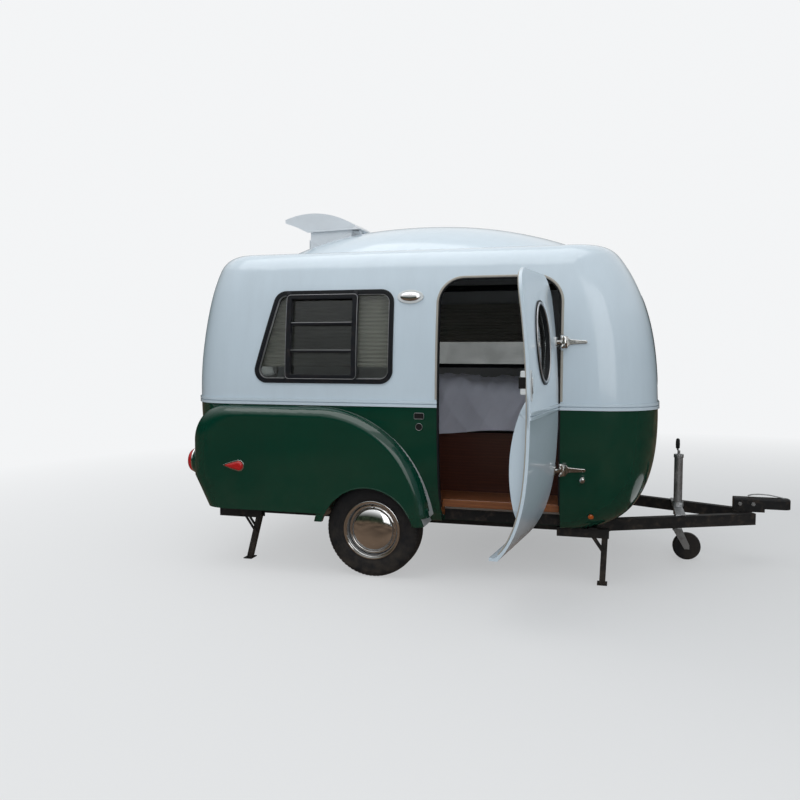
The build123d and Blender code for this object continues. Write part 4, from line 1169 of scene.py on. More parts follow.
@dataclass
class Window:
    """A window: its rubber gasket, the bright line in it, its insect net, its sash and its bars."""

    model: Model
    name: str
    body: str
    wall: Wall
    rear_bottom: float
    rear_top: float
    front: float
    low: float = 1.207
    high: float = 1.785
    corner: float = 0.082
    gasket: float = 0.028
    proud: float = 0.008
    line: float = 0.0045
    net: tuple[float, float] = (-0.0300, -0.0294)
    sash_in: float = 0.012
    # How far the painted highlight strip round the sash reaches beyond it.
    sash_edge: float = 0.015
    sash: Spot | None = None
    bars: tuple[float, ...] = ()

    def outline(self, inset: float) -> Outline:
        """The window's outline drawn in by an inset, counted square to each side.

        Args:
            inset: How far it is drawn in.

        Returns:
            Points around the outline.
        """
        slope = (self.rear_top - self.rear_bottom) / (self.high - self.low)
        skew = inset * (1 + slope ** 2) ** 0.5
        low, high = self.low + inset, self.high - inset
        rear_low = self.rear_bottom + skew + slope * inset
        rear_high = self.rear_top + skew - slope * inset
        front = self.front - inset
        corners = [(rear_low, low), (front, low), (front, high), (rear_high, high)]
        return rounded(corners, [max(self.corner - inset, 0.02)] * 4)

    def build(self) -> None:
        """Makes the window's pieces."""
        name = self.name
        self.model.refined(f"{name}_window_frame", Finish.SASH, crease=30.0)
        self.model.refined(f"{name}_window_glass", Finish.GLASS)
        rubber = bar(self.gasket, -0.004, self.proud, 0.0035)
        rubber = self.wall.trim(self.outline(self.gasket / 2), rubber)
        rubber.piece(f"{name}_window_gasket", Finish.GASKET, self.body)
        bright = bar(self.line, -0.010, 0.004, 0.001)
        bright = self.wall.trim(self.outline(self.gasket + self.line / 2), bright)
        bright.piece(f"{name}_window_line", Finish.ALUMINIUM, self.body)
        if self.sash:
            self.make_sash(name)
            rear, front = self.sash
        else:
            rear, front = self.rear_bottom + self.gasket, self.front - self.gasket
        low, high = self.low + self.gasket, self.high - self.gasket
        net = self.wall.plate(oblong((rear, low), (front, high), 0.030, 4), *self.net)
        net.piece(f"{name}_insect_net", Finish.NET, self.body)

    def make_sash(self, name: str) -> None:
        """The opening sash: a frame of bars, with pale metal strips as painted highlights round its outer
        edge and along each cross bar's top.
        """
        rear, front = self.sash
        low, high = self.low + self.gasket, self.high - self.gasket
        ring = oblong((rear, low + self.sash_in), (front, high - self.sash_in), 0.016, 5)
        frame = self.wall.trim(ring, bar(0.030, -0.012, 0.0135, 0.004))
        frame.piece(f"{name}_sash_frame", Finish.SASH, self.body)
        # A thin pale metal strip round the sash, proud of the frame: a painted highlight along its edge.
        grown = oblong((rear - self.sash_edge, low), (front + self.sash_edge, high), 0.022, 5)
        edge = self.wall.trim(grown, bar(0.0030, -0.004, 0.0145, 0.001))
        edge.piece(f"{name}_sash_edge", Finish.ALUMINIUM, self.body)
        bars, edges = [], []
        for height in self.bars:
            path = np.stack((np.linspace(rear, front, 24), np.full(24, height)), axis=1)
            bars.append(self.wall.trim(path, bar(0.014, -0.010, 0.009, 0.003), False))
            # A thin pale metal strip along each bar's top: a painted highlight.
            edges.append(self.wall.trim(path + (0.0, 0.0080), bar(0.0030, -0.010, 0.0100, 0.001), False))
        bars[0].plus(*bars[1:]).piece(f"{name}_sash_bars", Finish.SASH, self.body)
        # The bars' painted highlight strips, as one piece.
        edges[0].plus(*edges[1:]).piece(f"{name}_sash_bar_edges", Finish.ALUMINIUM, self.body)


# The side door and its opening


@dataclass(frozen=True)
class Opening:
    """The side door's opening in the skin, and the line that its two hinges turn about."""

    rear: float = 0.417
    front: float = 1.141
    top: float = 1.842
    corner: float = 0.150
    steps: int = 14
    hinge: tuple[float, float] = (1.150, -1.016)
    hinges: tuple[tuple[str, float], ...] = (("upper", 1.460), ("lower", 0.724))
    barrel_bore: float = 0.0092
    barrel_r: float = 0.0130
    knuckle: float = 0.0216

    def outline(self, low: float, latch: float, hinge: float, top: float) -> Outline:
        """The outline from its rear foot over the top to its front foot.

        Args:
            low: Height of both feet.
            latch: How far the rear side is drawn in.
            hinge: How far the front side is drawn in.
            top: How far the top is drawn in, and by how much its corners are sharper.

        Returns:
            Points along the outline.
        """
        rear, front, crest = self.rear + latch, self.front - hinge, self.top - top
        corners = [(rear, low), (rear, crest), (front, crest), (front, low)]
        ring = rounded(corners, [0.001, self.corner - top, self.corner - top, 0.001], self.steps)
        arcs = ring[self.steps + 1:3 * (self.steps + 1)]
        return np.concatenate(([corners[0]], arcs, [corners[3]]))


@dataclass
class Doorway:
    """What the body carries around the side door: beads, threshold, badges, hinge straps and a knob."""

    wall: Wall
    opening: Opening = Opening()
    inside: float = -0.786
    sill_gap: float = 0.006
    hinge_room: float = 0.042
    hinge_side: float = 1.100
    bead_out: float = 0.007
    bead_foot: float = 1.118
    bulb_in: float = 0.003
    bulb_foot: float = 0.500
    plate: tuple[Spot, Spot] = ((0.276, 0.999), (0.336, 1.035))
    disc: Spot = (0.306, 0.951)
    disc_r: float = 0.021
    sleeve_near: float = 0.0116
    sleeve_far: float = 0.036
    knob: Spot = (1.272, 0.672)
    amber: Spot = (1.320, 0.441)

    def build(self) -> None:
        """Makes the pieces."""
        line = self.parted(self.opening.outline(self.bead_foot, *[-self.bead_out] * 3), bead(0.015, 0.0055))
        line.piece("doorway_bead", Finish.CREAM, "trailer")
        bulb = self.parted(self.opening.outline(self.bulb_foot, *[self.bulb_in] * 3), wire(0.006), -0.002)
        bulb.piece("doorway_bulb", Finish.GASKET, "trailer")
        self.threshold()
        self.badges()
        self.straps()

    def parted(self, outline: Outline, profile: Outline, lift: float = 0.0) -> Surface:
        """A profile along the doorway's outline that stops short of both hinges.

        Args:
            outline: The line to follow.
            profile: The profile.
            lift: How far it stands off the skin.

        Returns:
            The parts of the profile that are left.
        """
        path = even(outline, 0.006, False)
        near = np.min([np.abs(path[:, 1] - height) for _, height in self.opening.hinges], axis=0)
        free = (path[:, 0] < self.hinge_side) | (near > self.hinge_room)
        ends = np.flatnonzero(np.diff(free.astype(int))) + 1
        runs = [run for run, kept in zip(np.split(path, ends), np.split(free, ends)) if kept[0]]
        parts = [self.wall.trim(run, profile, False, lift) for run in runs]
        return parts[0].plus(*parts[1:])

    def threshold(self) -> None:
        """The timber step in the doorway, the metal strip under it and the dark skirt below."""
        rear, front = self.opening.rear + self.sill_gap, self.opening.front - self.sill_gap
        step = slab((rear, -0.868, 0.446), (front, self.inside + 0.06, 0.494))
        step.piece("threshold", Finish.FLOOR, "trailer", bevel=0.006)
        strip = slab((rear, self.inside - 0.010, 0.420), (front, self.inside, 0.437))
        strip.piece("threshold_strip", Finish.ALUMINIUM, "trailer", bevel=0.002)
        skirt = slab((rear, self.inside - 0.004, 0.352), (front, self.inside, 0.420))
        skirt.piece("threshold_skirt", Finish.STEEL, "trailer", bevel=0.001)

    def badges(self) -> None:
        """Two bare badges behind the doorway: a rounded plate and a round one, each with a bright rim."""
        for name, outline in (("plate", oblong(*self.plate, 0.008, 6)),
                              ("disc", ellipse(self.disc, self.disc_r, self.disc_r, 48))):
            face = self.wall.plate(outline, -0.001, 0.0022)
            face.piece(f"{name}_badge", Finish.BADGE, "trailer", bevel=0.0006)
            rim = self.wall.trim(outline, bead(0.0030, 0.0030), step=0.004)
            rim.piece(f"{name}_badge_rim", Finish.ALUMINIUM, "trailer")

    def straps(self) -> None:
        """The winged straps and sleeves of both hinges, the holdback knob and the amber lamp."""
        half = np.array([(1.153, 0.014), (1.176, 0.034), (1.193, 0.015), (1.258, 0.010), (1.290, 0.009)])
        corners = np.concatenate((half * (1, -1), half[::-1]))
        radii = [0.003, 0.008, 0.012, 0.030, 0.008]
        for name, height in self.opening.hinges:
            outline = rounded(corners + (0.0, height), radii + radii[::-1], 6)
            strap = self.wall.plate(outline, -0.001, 0.011)
            strap.piece(f"{name}_hinge_strap", Finish.HINGE, "trailer", bevel=0.0045)
            for end, low, high in (("low", -self.sleeve_far, -self.sleeve_near),
                                   ("high", self.sleeve_near, self.sleeve_far)):
                sleeve = self.sleeve(height + low, height + high)
                sleeve.piece(f"{name}_hinge_sleeve_{end}", Finish.HINGE, "trailer")
        knob = [(0.0, 0.0), (0.0, 0.013), (0.004, 0.013), (0.006, 0.006), (0.016, 0.006), (0.019, 0.014),
                (0.026, 0.0175), (0.034, 0.0150), (0.038, 0.008), (0.0385, 0.0)]
        place, normal = self.wall.spot(*self.knob)
        turned(knob, place, normal, 40).piece("holdback_knob", Finish.HINGE, "trailer")
        place, normal = self.wall.spot(*self.amber)
        lamp = [(0.0, 0.0), (0.0, 0.016), (0.006, 0.016), (0.010, 0.012), (0.013, 0.006), (0.0135, 0.0)]
        turned(lamp, place, normal, 32).piece("amber_lamp", Finish.AMBER_LENS, "trailer")

    def sleeve(self, low: float, high: float) -> Surface:
        """A rounded sleeve over a hinge barrel between two heights."""
        length, bore, outer = high - low, self.opening.barrel_bore, self.opening.barrel_r
        line = [(0.0, bore), (0.0, outer - 0.0015), (0.002, outer), (length - 0.002, outer),
                (length, outer - 0.0015), (length, bore)]
        return turned(line, (*self.opening.hinge, low), UP, 32, True)


@dataclass
class SideDoor:
    """What the side door carries, worked out on the closed door and swung open with it."""

    model: Model
    wall: Wall
    opening: Opening = Opening()
    opened: float = 83.0
    latch_gap: float = 0.018
    hinge_gap: float = 0.010
    top_gap: float = 0.011
    skin: float = 0.016
    foot: float = 0.372
    liner: tuple[Spot, Spot] = ((0.479, 0.500), (1.079, 1.200))
    liner_corner: float = 0.110
    port_at: Spot = (0.786, 1.455)
    port_half: Spot = (0.149, 0.209)

    def swung(self, points: np.ndarray) -> np.ndarray:
        """Turns points of the closed door about the hinge to where it is parked.

        Args:
            points: The points, one a row.

        Returns:
            The turned points.
        """
        turn = radians(self.opened)
        pin_x, pin_y = self.opening.hinge
        x, y = points[:, 0] - pin_x, points[:, 1] - pin_y
        return np.stack((pin_x + cos(turn) * x - sin(turn) * y,
                         pin_y + sin(turn) * x + cos(turn) * y, points[:, 2]), axis=1)

    def put(self, surface: Surface, name: str, finish: Finish, **looks: float) -> None:
        """Makes a piece of the door."""
        surface.changed(self.swung).piece(name, finish, "side_door", **looks)

    def line(self, inset: float) -> Outline:
        """The door's own outline, drawn in by an inset."""
        gaps = (self.latch_gap + inset, self.hinge_gap + inset, self.top_gap + inset)
        return self.opening.outline(self.foot, *gaps)

    def build(self) -> None:
        """Makes the pieces."""
        liner = oblong(*self.liner, self.liner_corner)
        for name, finish, path, closed, width, depth, radius in (
            ("door_edge_trim", Finish.CREAM, self.line(0.008), False, 0.013, 0.007, 0.003),
            ("door_edge_seal", Finish.GASKET, self.line(0.019), False, 0.006, 0.005, 0.002),
            ("door_liner_line", Finish.GASKET, liner, True, 0.007, 0.004, 0.0015),
        ):
            profile = bar(width, -self.skin - depth, -self.skin + 0.0005, radius)
            self.put(self.wall.trim(path, profile, closed), name, finish)
        self.latch()
        self.port()
        bore, outer, length = self.opening.barrel_bore, self.opening.barrel_r, self.opening.knuckle
        line = [(0.0, bore), (0.0, outer), (length, outer), (length, bore)]
        for name, height in self.opening.hinges:
            knuckle = turned(line, (*self.opening.hinge, height - length / 2), UP, 32, True)
            self.put(knuckle, f"{name}_hinge_knuckle", Finish.HINGE)
            wings = [(1.098, height - 0.026), (1.136, height - 0.032), (1.136, height + 0.032),
                     (1.098, height + 0.026)]
            leaf = self.wall.plate(rounded(wings, [0.010, 0.006, 0.006, 0.010], 5), -0.001, 0.009)
            self.put(leaf, f"{name}_hinge_leaf", Finish.HINGE, bevel=0.0035)

    def latch(self) -> None:
        """The latch's box on the inner face, its dark bolt, and the slot handle on the outer face."""
        box = slab((0.4375, -0.986, 1.196), (0.482, -0.950, 1.314))
        self.put(box, "latch_box", Finish.LATCH, bevel=0.005)
        bolt = slab((0.4355, -0.980, 1.226), (0.468, -0.942, 1.284))
        self.put(bolt, "latch_bolt", Finish.BADGE, bevel=0.003)
        plate = self.wall.plate(oblong((0.453, 1.162), (0.487, 1.318), 0.016, 8), -0.001, 0.003)
        self.put(plate, "handle_plate", Finish.LATCH, bevel=0.0012)
        slot = self.wall.plate(oblong((0.461, 1.176), (0.479, 1.304), 0.0085, 8), 0.001, 0.0036)
        self.put(slot, "handle_slot", Finish.ALUMINIUM, bevel=0.0004)
        lever = self.wall.plate(oblong((0.464, 1.200), (0.476, 1.280), 0.0055, 6), 0.003, 0.0095)
        self.put(lever, "handle_lever", Finish.CHROME, bevel=0.002)

    def port(self) -> None:
        """The oval port's rubber ring with a bright rim outside and inside."""
        self.model.refined("door_port_ring", Finish.GASKET)
        self.model.refined("door_port_glass", Finish.SMOKED)
        for name, lift, face in (("outer", 0.0055, 1), ("inner", -0.0285, -1)):
            profile = bead(0.012, 0.005) * (1, face)
            ring = self.wall.trim(ellipse(self.port_at, *self.port_half, 96), profile, True, lift)
            self.put(ring, f"port_{name}_rim", Finish.ALUMINIUM)


# Lamps


def upright(side: Side, distance: float) -> Wall:
    """A flat upright plane at a distance from the middle, as a wall."""
    return Wall(np.array((1.0, 0.0, 0.0)), np.array((0.0, side.value, 0.0)), np.array((0.0, 3.0)),
                np.full(2, distance))


@dataclass
class Lamps:
    """The porch lamp, the tail lamps on their pods and the teardrop marker lamps."""

    wall: Wall
    porch: Spot = (0.242, 1.735)
    porch_rim: Spot = (0.082, 0.042)
    porch_dome: Spot = (0.064, 0.029)
    pod: Point = (-1.238, 0.905, 0.680)
    lens_r: float = 0.078
    marker_tip: float = -0.958
    marker_nose: float = -0.824
    marker_crest: float = -0.866
    marker_y: float = 1.068
    marker_z: float = 0.680
    marker_half: float = 0.032

    def build(self) -> None:
        """Makes the lamps."""
        rim = self.wall.plate(ellipse(self.porch, *self.porch_rim, 72), -0.001, 0.011)
        rim = rim.piece("porch_lamp_rim", Finish.LATCH, "trailer", bevel=0.005)
        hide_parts("porch_lamp")
        dome = self.wall.dome(self.porch, *self.porch_dome, 0.009, 0.014, 2.4)
        dome.piece("porch_lamp_dome", Finish.CHROME, "trailer")
        tails, markers = [], []
        for side in Side:
            tails.append(self.tail(side))
            markers.append(self.marker(side))
        for pair, node in ((tails, "tail_lamps"), (markers, "marker_lamps")):
            joined = pair[0].plus(pair[1]).piece(f"{node}_lens", Finish.RED_LENS, "trailer", crease=50.0)
            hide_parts(node)

    def tail(self, side: Side) -> Surface:
        """A round lens with rings pressed into its face, and its bright bezel.

        The face stands 10 + 33 x sqrt(1 - share of the radius to the eighth) mm beyond the pod, with
        a small cosine ripple of 9 mm steps.

        Args:
            side: The lamp's side.

        Returns:
            The lens.
        """
        centre = (self.pod[0], side.value * self.pod[1], self.pod[2])
        radius = self.lens_r * np.cos(np.linspace(0, pi / 2, 60))
        share = radius / self.lens_r
        ripple = 0.0011 * np.cos(radius / 0.009 * 2 * pi) * (share < 0.85)
        along = 0.010 + 0.033 * np.sqrt(1 - share ** 8) + ripple
        line = [(-0.004, 0.0), (-0.004, self.lens_r), *zip(along.tolist(), radius.tolist())]
        bezel = [(-0.002, self.lens_r - 0.003), (-0.002, 0.0845), (0.003, 0.0860), (0.008, 0.0840),
                 (0.009, 0.0795), (0.006, self.lens_r - 0.003)]
        ring = turned(bezel, centre, (-1.0, 0.0, 0.0), 72, True)
        ring.piece(f"{side.word}_tail_bezel", Finish.CHROME, "trailer")
        return turned(line, centre, (-1.0, 0.0, 0.0), 72)

    def marker(self, side: Side) -> Surface:
        """A teardrop lens with its tip to the rear, on a bright bezel of the same form.

        Args:
            side: The lamp's side.

        Returns:
            The lens.
        """
        plane = upright(side, self.marker_y)

        def drop(grown: float) -> Outline:
            """The teardrop, grown on every side."""
            tip, nose = self.marker_tip - 2 * grown, self.marker_nose + grown
            half = self.marker_half + grown
            flank, slope = nose - 1.2 * half, nose - 2.4 * half
            under = [(tip, -0.003), (slope, -0.70 * half), (flank, -half), (nose, -half)]
            corners = [(x, self.marker_z + z) for x, z in under]
            corners += [(x, self.marker_z - z) for x, z in under[::-1]]
            radii = [0.0015, 0.030, 0.004, half * 0.99]
            return rounded(corners, radii + radii[::-1], 8)

        bezel = plane.plate(drop(0.004), -0.002, 0.006)
        bezel.piece(f"{side.word}_marker_bezel", Finish.CHROME, "trailer", bevel=0.0025)
        return plane.swell(drop(-0.003), (self.marker_crest, self.marker_z), 0.004, 0.0175, 2.6)


# Wheels


@dataclass
class RoadWheel:
    """One road wheel: a tyre with its tread, a bright ring, a stepped hub cap and the valve."""

    model: Model
    side: Side
    track: float = 0.900
    radius: float = 0.297
    bore: float = 0.1655
    pitches: int = 72
    steps: int = 4
    cut: float = 0.0035
    valve_r: float = 0.158
    dome_r: float = 0.1345
    dome_low: float = 0.012
    dome_rise: float = 0.034

    def build(self) -> None:
        """Makes the wheel's pieces."""
        name = self.side.word
        body = f"{name}_wheel"
        tyre = self.tyre().piece(f"{name}_tyre_tread", Finish.TYRE, body, crease=30.0)
        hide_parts(f"{name}_tyre")
        face = float(np.abs(self.model.triangles(f"{name}_hubcap")[:, :, 1]).min())
        cap = self.cap(face).piece(f"{name}_hubcap_dome", Finish.CHROME, body, crease=40.0)
        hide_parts(f"{name}_hubcap")
        lip = float(np.abs(self.model.triangles(f"{name}_trim_ring")[:, :, 1]).max())
        ring = self.ring(lip).piece(f"{name}_bright_ring", Finish.CHROME, body, crease=50.0)
        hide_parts(f"{name}_trim_ring")
        sign = self.side.value
        start = np.array((0.0, sign * (face - 0.004), self.radius + self.valve_r))
        stem = rod(start, start + (0.0, sign * 0.022, -0.004), 0.0042, 20)
        tip = rod(start + (0.0, sign * 0.018, -0.003), start + (0.0, sign * 0.030, -0.005), 0.0052, 20)
        stem.plus(tip).piece(f"{name}_valve", Finish.GASKET, body)

    def turned(self, profile: Sequence[tuple[float, float]], around: int, closed: bool) -> Surface:
        """A profile turned about the hub; its distances count outward from the middle of the trailer."""
        return turned(profile, (0.0, 0.0, self.radius), (0.0, self.side.value, 0.0), around, closed)

    def ring(self, lip: float) -> Surface:
        """The bright ring in the tyre's mouth: a rolled lip, a flat and a step down to the rim."""
        profile = [(0.0, 0.1820), (0.0015, 0.1795), (0.0010, 0.1745), (-0.0015, 0.1715), (-0.0015, 0.1665),
                   (-0.006, 0.1630), (-0.009, 0.1620), (-0.009, 0.1640), (-0.004, 0.1680), (-0.003, 0.1820)]
        return self.turned([(lip + out, radius) for out, radius in profile], 120, True)

    def cap(self, face: float) -> Surface:
        """The hub cap: a flange with a pressed groove, then a dome.

        At share s of its radius the dome stands 12 + 34 x (1 - s squared) to the power 0.62 mm
        beyond the rim's face.

        Args:
            face: How far out the rim's face stands.

        Returns:
            The cap.
        """
        share = np.sin(np.linspace(pi / 2, 0, 28))
        dome = [(self.dome_low + self.dome_rise * (1 - s * s) ** 0.62, self.dome_r * s)
                for s in share.tolist()]
        flange = [(0.0, 0.0), (0.0, 0.1545), (0.004, 0.1555), (0.0075, 0.1530), (0.0085, 0.1475),
                  (0.0075, 0.1420), (0.0045, 0.1390), (0.0060, 0.1360)]
        return self.turned([(face + out, radius) for out, radius in flange + dome], 120, False)

    def tyre(self) -> Surface:
        """The tyre: its section turned about the hub, with three grooves and cuts in both shoulders.

        The section runs from the inner bead over the tread to the outer bead and back along the
        bore. At angle t a shoulder point sinks by 3.5 mm where t lies in the first quarter of its pitch.
        """
        wall = [(0.066, self.bore), (0.070, 0.172), (0.0745, 0.178), (0.0795, 0.1815), (0.0800, 0.1870),
                (0.0850, 0.1960), (0.0890, 0.2080), (0.0893, 0.2095), (0.0905, 0.2100), (0.0918, 0.2240),
                (0.0925, 0.2390), (0.0918, 0.2400), (0.0920, 0.2500), (0.0905, 0.2620), (0.0875, 0.2720)]
        shoulder = [(0.0845, 0.2775), (0.0800, 0.2845), (0.0735, 0.2902), (0.0660, 0.2935), (0.0560, 0.2950)]
        tread = []
        for groove in (0.042, 0.014):
            tread += [(groove + 0.0045, 0.2962), (groove + 0.0030, 0.2895), (groove - 0.0030, 0.2895),
                      (groove - 0.0045, 0.2968)]
        right = wall + shoulder + tread
        section = np.array([(-a, r) for a, r in right] + right[::-1])
        cut = np.zeros(len(section))
        first = len(wall)
        cut[first:first + len(shoulder) - 1] = 1.0
        cut[-first - len(shoulder) + 1:-first] = 1.0
        around = self.pitches * self.steps
        index = np.arange(around)
        turn = index * 2 * pi / around
        deep = (index % self.steps == 0) * self.cut
        radius = np.minimum(section[None, :, 1], self.radius) - deep[:, None] * cut[None]
        across = np.broadcast_to(self.side.value * (self.track + section[None, :, 0]), radius.shape)
        ahead, up = radius * np.cos(turn)[:, None], radius * np.sin(turn)[:, None]
        points = np.stack((ahead, across, self.radius + up), axis=-1)
        return Surface(points.reshape(-1, 3), [quads(around, len(section), True, True)])


# Bedding


def inflated(model: Model, node: str, finish: Finish, grid: float = 0.022, drawn: float = 0.008,
             pressure: float = 4.0, most: float = 0.012) -> bpy.types.Object:
    """Replaces a soft node by a padded copy: evenly meshed, drawn in a little and blown up as cloth.

    Args:
        model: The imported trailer.
        node: The soft node.
        finish: The pad's finish.
        grid: Size of the even mesh's faces.
        drawn: How far each side is drawn in before.
        pressure: Force of the air inside.
        most: How far a point may move.

    Returns:
        The pad.
    """
    scene = bpy.context.scene
    pad = bpy.data.objects.new(f"{node}_start", model.nodes[node].data.copy())
    scene.collection.objects.link(pad)
    mesher = pad.modifiers.new("even", "REMESH")
    mesher.mode = "VOXEL"
    mesher.voxel_size = grid
    mesh = bpy.data.meshes.new_from_object(pad.evaluated_get(bpy.context.evaluated_depsgraph_get()))
    pad.modifiers.clear()
    pad.data = mesh
    start = read_points(mesh)
    low, high = start.min(axis=0), start.max(axis=0)
    start = (low + high) / 2 + (start - (low + high) / 2) * (1 - drawn / ((high - low) / 2))
    mesh.vertices.foreach_set("co", start.ravel())
    air = pad.modifiers.new("air", "CLOTH")
    air.settings.use_pressure = True
    air.settings.uniform_pressure_force = pressure
    air.settings.effector_weights.gravity = 0.0
    for frame in range(1, 21):
        scene.frame_set(frame)
    blown = read_points(pad.evaluated_get(bpy.context.evaluated_depsgraph_get()).data)
    shift = blown - start
    reach = np.linalg.norm(shift, axis=1, keepdims=True)
    start = start + shift * np.minimum(1.0, most / np.maximum(reach, 1e-9))
    pad.modifiers.clear()
    mesh.vertices.foreach_set("co", start.ravel())
    scene.frame_set(1)
    bpy.data.objects.remove(pad)
    piece = finished(mesh, f"{node}_pad", finish, model.body[node], crease=70.0, levels=1)
    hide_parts(node)
    return piece


def read_points(mesh: bpy.types.Mesh) -> np.ndarray:
    """A mesh's points, one a row."""
    points = np.empty(3 * len(mesh.vertices), dtype=np.float32)
    mesh.vertices.foreach_get("co", points)
    return points.reshape(-1, 3)


def cloth(points: np.ndarray, thick: float) -> Surface:
    """A sheet with two faces from a grid of points: half the thickness to each side along its normals.

    A row's points run along the upper face and back along the lower one, and the first and last
    rows are closed by strips.

    Args:
        points: Rows and columns of points.
        thick: The sheet's thickness.

    Returns:
        The closed sheet.
    """
    across, along = np.gradient(points, axis=1), np.gradient(points, axis=0)
    normal = unit(np.cross(along, across)) * thick / 2
    ring = np.concatenate((points + normal, (points - normal)[:, ::-1]), axis=1)
    rows, columns = ring.shape[:2]
    near = np.arange(columns // 2 - 1)
    strip = np.stack((near, near + 1, columns - 2 - near, columns - 1 - near), axis=1)
    faces = [quads(rows, columns, False, True), strip, strip[:, ::-1] + (rows - 1) * columns]
    return Surface(ring.reshape(-1, 3), faces)


@dataclass
class Bed:
    """The mattress on the bunk, the rumpled cover thrown over it, and a dark round bar high along the far
    wall.

    A fold of the cover is its height, its waves for each metre along and across, how fast its line
    sways, and its phase.
    """

    model: Model
    rear: float = -0.33
    front: float = 1.38
    wall_y: float = 0.80
    edge_y: float = -0.305
    top: float = 1.166
    hem: float = 0.872
    round_r: float = 0.075
    thick: float = 0.006
    fade: float = 0.14
    roll_rear: float = -0.05
    roll_front: float = 1.05
    roll_at: Spot = (0.876, 1.915)
    roll_r: float = 0.025
    folds: tuple[tuple[float, ...], ...] = (
        (0.028, 4.6, 2.1, 3.1, 0.4),
        (0.022, -3.4, 5.2, 4.3, 1.7),
        (0.016, 11.0, 8.0, 5.0, 2.2),
        (0.011, -17.0, 15.0, 7.0, 0.9),
        (0.006, 34.0, 13.0, 9.0, 0.2),
    )

    def build(self) -> None:
        """Makes the bedding."""
        inflated(self.model, "mattress", Finish.BEDDING)
        points = self.cover()
        sheet = cloth(points, self.thick).piece("bed_cover", Finish.CLOTH, "trailer", crease=70.0)
        # A dark round bar high along the far wall, above the window.
        roll = rod((self.roll_rear, *self.roll_at), (self.roll_front, *self.roll_at), self.roll_r)
        roll.piece("shade_roll", Finish.GASKET, "trailer")

    def cover(self) -> np.ndarray:
        """The cover's middle surface.

        Its line across runs level from the wall, turns down round the bed's edge and hangs to a wavy
        hem. Each point is then lifted off the bed by ridges, 1 - |sine| of slanted waves whose phase
        is itself waved, which fade out at the two ends and at the wall.
        """
        u = np.linspace(self.rear, self.front, 176)[:, None]
        bend = self.edge_y + self.round_r
        level, curve = self.wall_y - bend, self.round_r * pi / 2
        hem = self.hem + 0.022 * np.sin(3.1 * u - 2.2) + 0.008 * np.sin(11.0 * u + 1.0)
        drop = self.top - self.round_r - hem
        s = np.linspace(0, 1, 150)[None] * (level + curve + drop)
        turn = np.clip((s - level) / self.round_r, 0, pi / 2)
        down = np.maximum(s - level - curve, 0)
        y = np.where(s < level, self.wall_y - s, bend - self.round_r * np.sin(turn))
        z = self.top - self.round_r * (1 - np.cos(turn)) - down
        lift = np.zeros_like(s)
        for height, along, across, sway, phase in self.folds:
            wave = along * u + across * s + 0.9 * np.sin(sway * s + 2.0 * u + phase) + phase
            lift = lift + height * (1 - np.abs(np.sin(wave))) ** 1.4
        hanging = np.clip((s - level) / 0.2, 0, 1)
        lift = lift * (1 - 0.35 * hanging) + hanging * 0.010 * (1 + np.sin(21.0 * u + 2.0 * np.sin(4.0 * u)))
        ends = np.clip((u - self.rear) / self.fade, 0, 1) * np.clip((self.front - u) / self.fade, 0, 1)
        lift = 0.004 + self.thick / 2 + lift * (ends * np.clip(s / self.fade, 0, 1))
        y, z = y - lift * np.sin(turn), z + lift * np.cos(turn)
        return np.stack((np.broadcast_to(u, s.shape), y, z), axis=-1)


# The rear hatch and the tongue


@dataclass
class RearHatch:
    """The hatch's two T handles, its bare plate and the plate's lamp."""

    model: Model
    handle_y: float = 0.430
    handle_z: float = 0.665
    handle_out: float = 0.019
    grip_half: float = 0.042
    plate: tuple[Spot, Spot] = ((-0.152, 0.700), (0.152, 0.852))
    lamp: Spot = (0.0, 0.892)
    lamp_half: Spot = (0.036, 0.015)

    def wall(self, station: float) -> Wall:
        """The hatch's lower skin over one station across."""
        return self.model.wall(station, 0, -1, 0.62, 1.05, ("hatch_lower",))

    def build(self) -> None:
        """Makes the fittings."""
        base = [(-0.001, 0.0), (-0.001, 0.024), (0.003, 0.024), (0.006, 0.021), (0.007, 0.010),
                (0.017, 0.008), (0.018, 0.0)]
        grip = [(-self.grip_half, 0.0), (-self.grip_half, 0.004), (-0.038, 0.0065), (-0.010, 0.0085)]
        grip += [(-along, radius) for along, radius in grip[::-1]]
        for side in Side:
            across = side.value * self.handle_y
            place, normal = self.wall(across).spot(across, self.handle_z)
            cross_bar = turned(grip, place + self.handle_out * normal, (0.0, 1.0, 0.0), 24)
            handle = turned(base, place, normal, 40).plus(cross_bar)
            handle.piece(f"{side.word}_hatch_handle", Finish.CHROME, "rear_hatch", crease=50.0)
        wall = self.wall(0.0)
        plate = oblong(*self.plate, 0.014, 8)
        wall.plate(plate, -0.001, 0.003).piece("bare_plate", Finish.LATCH, "rear_hatch", bevel=0.001)
        rim = wall.trim(plate, bead(0.008, 0.005), lift=0.001)
        rim.piece("plate_holder", Finish.CHROME, "rear_hatch")
        lamp = wall.dome(self.lamp, *self.lamp_half, -0.001, 0.016, 2.6)
        lamp.piece("plate_lamp", Finish.CHROME, "rear_hatch")


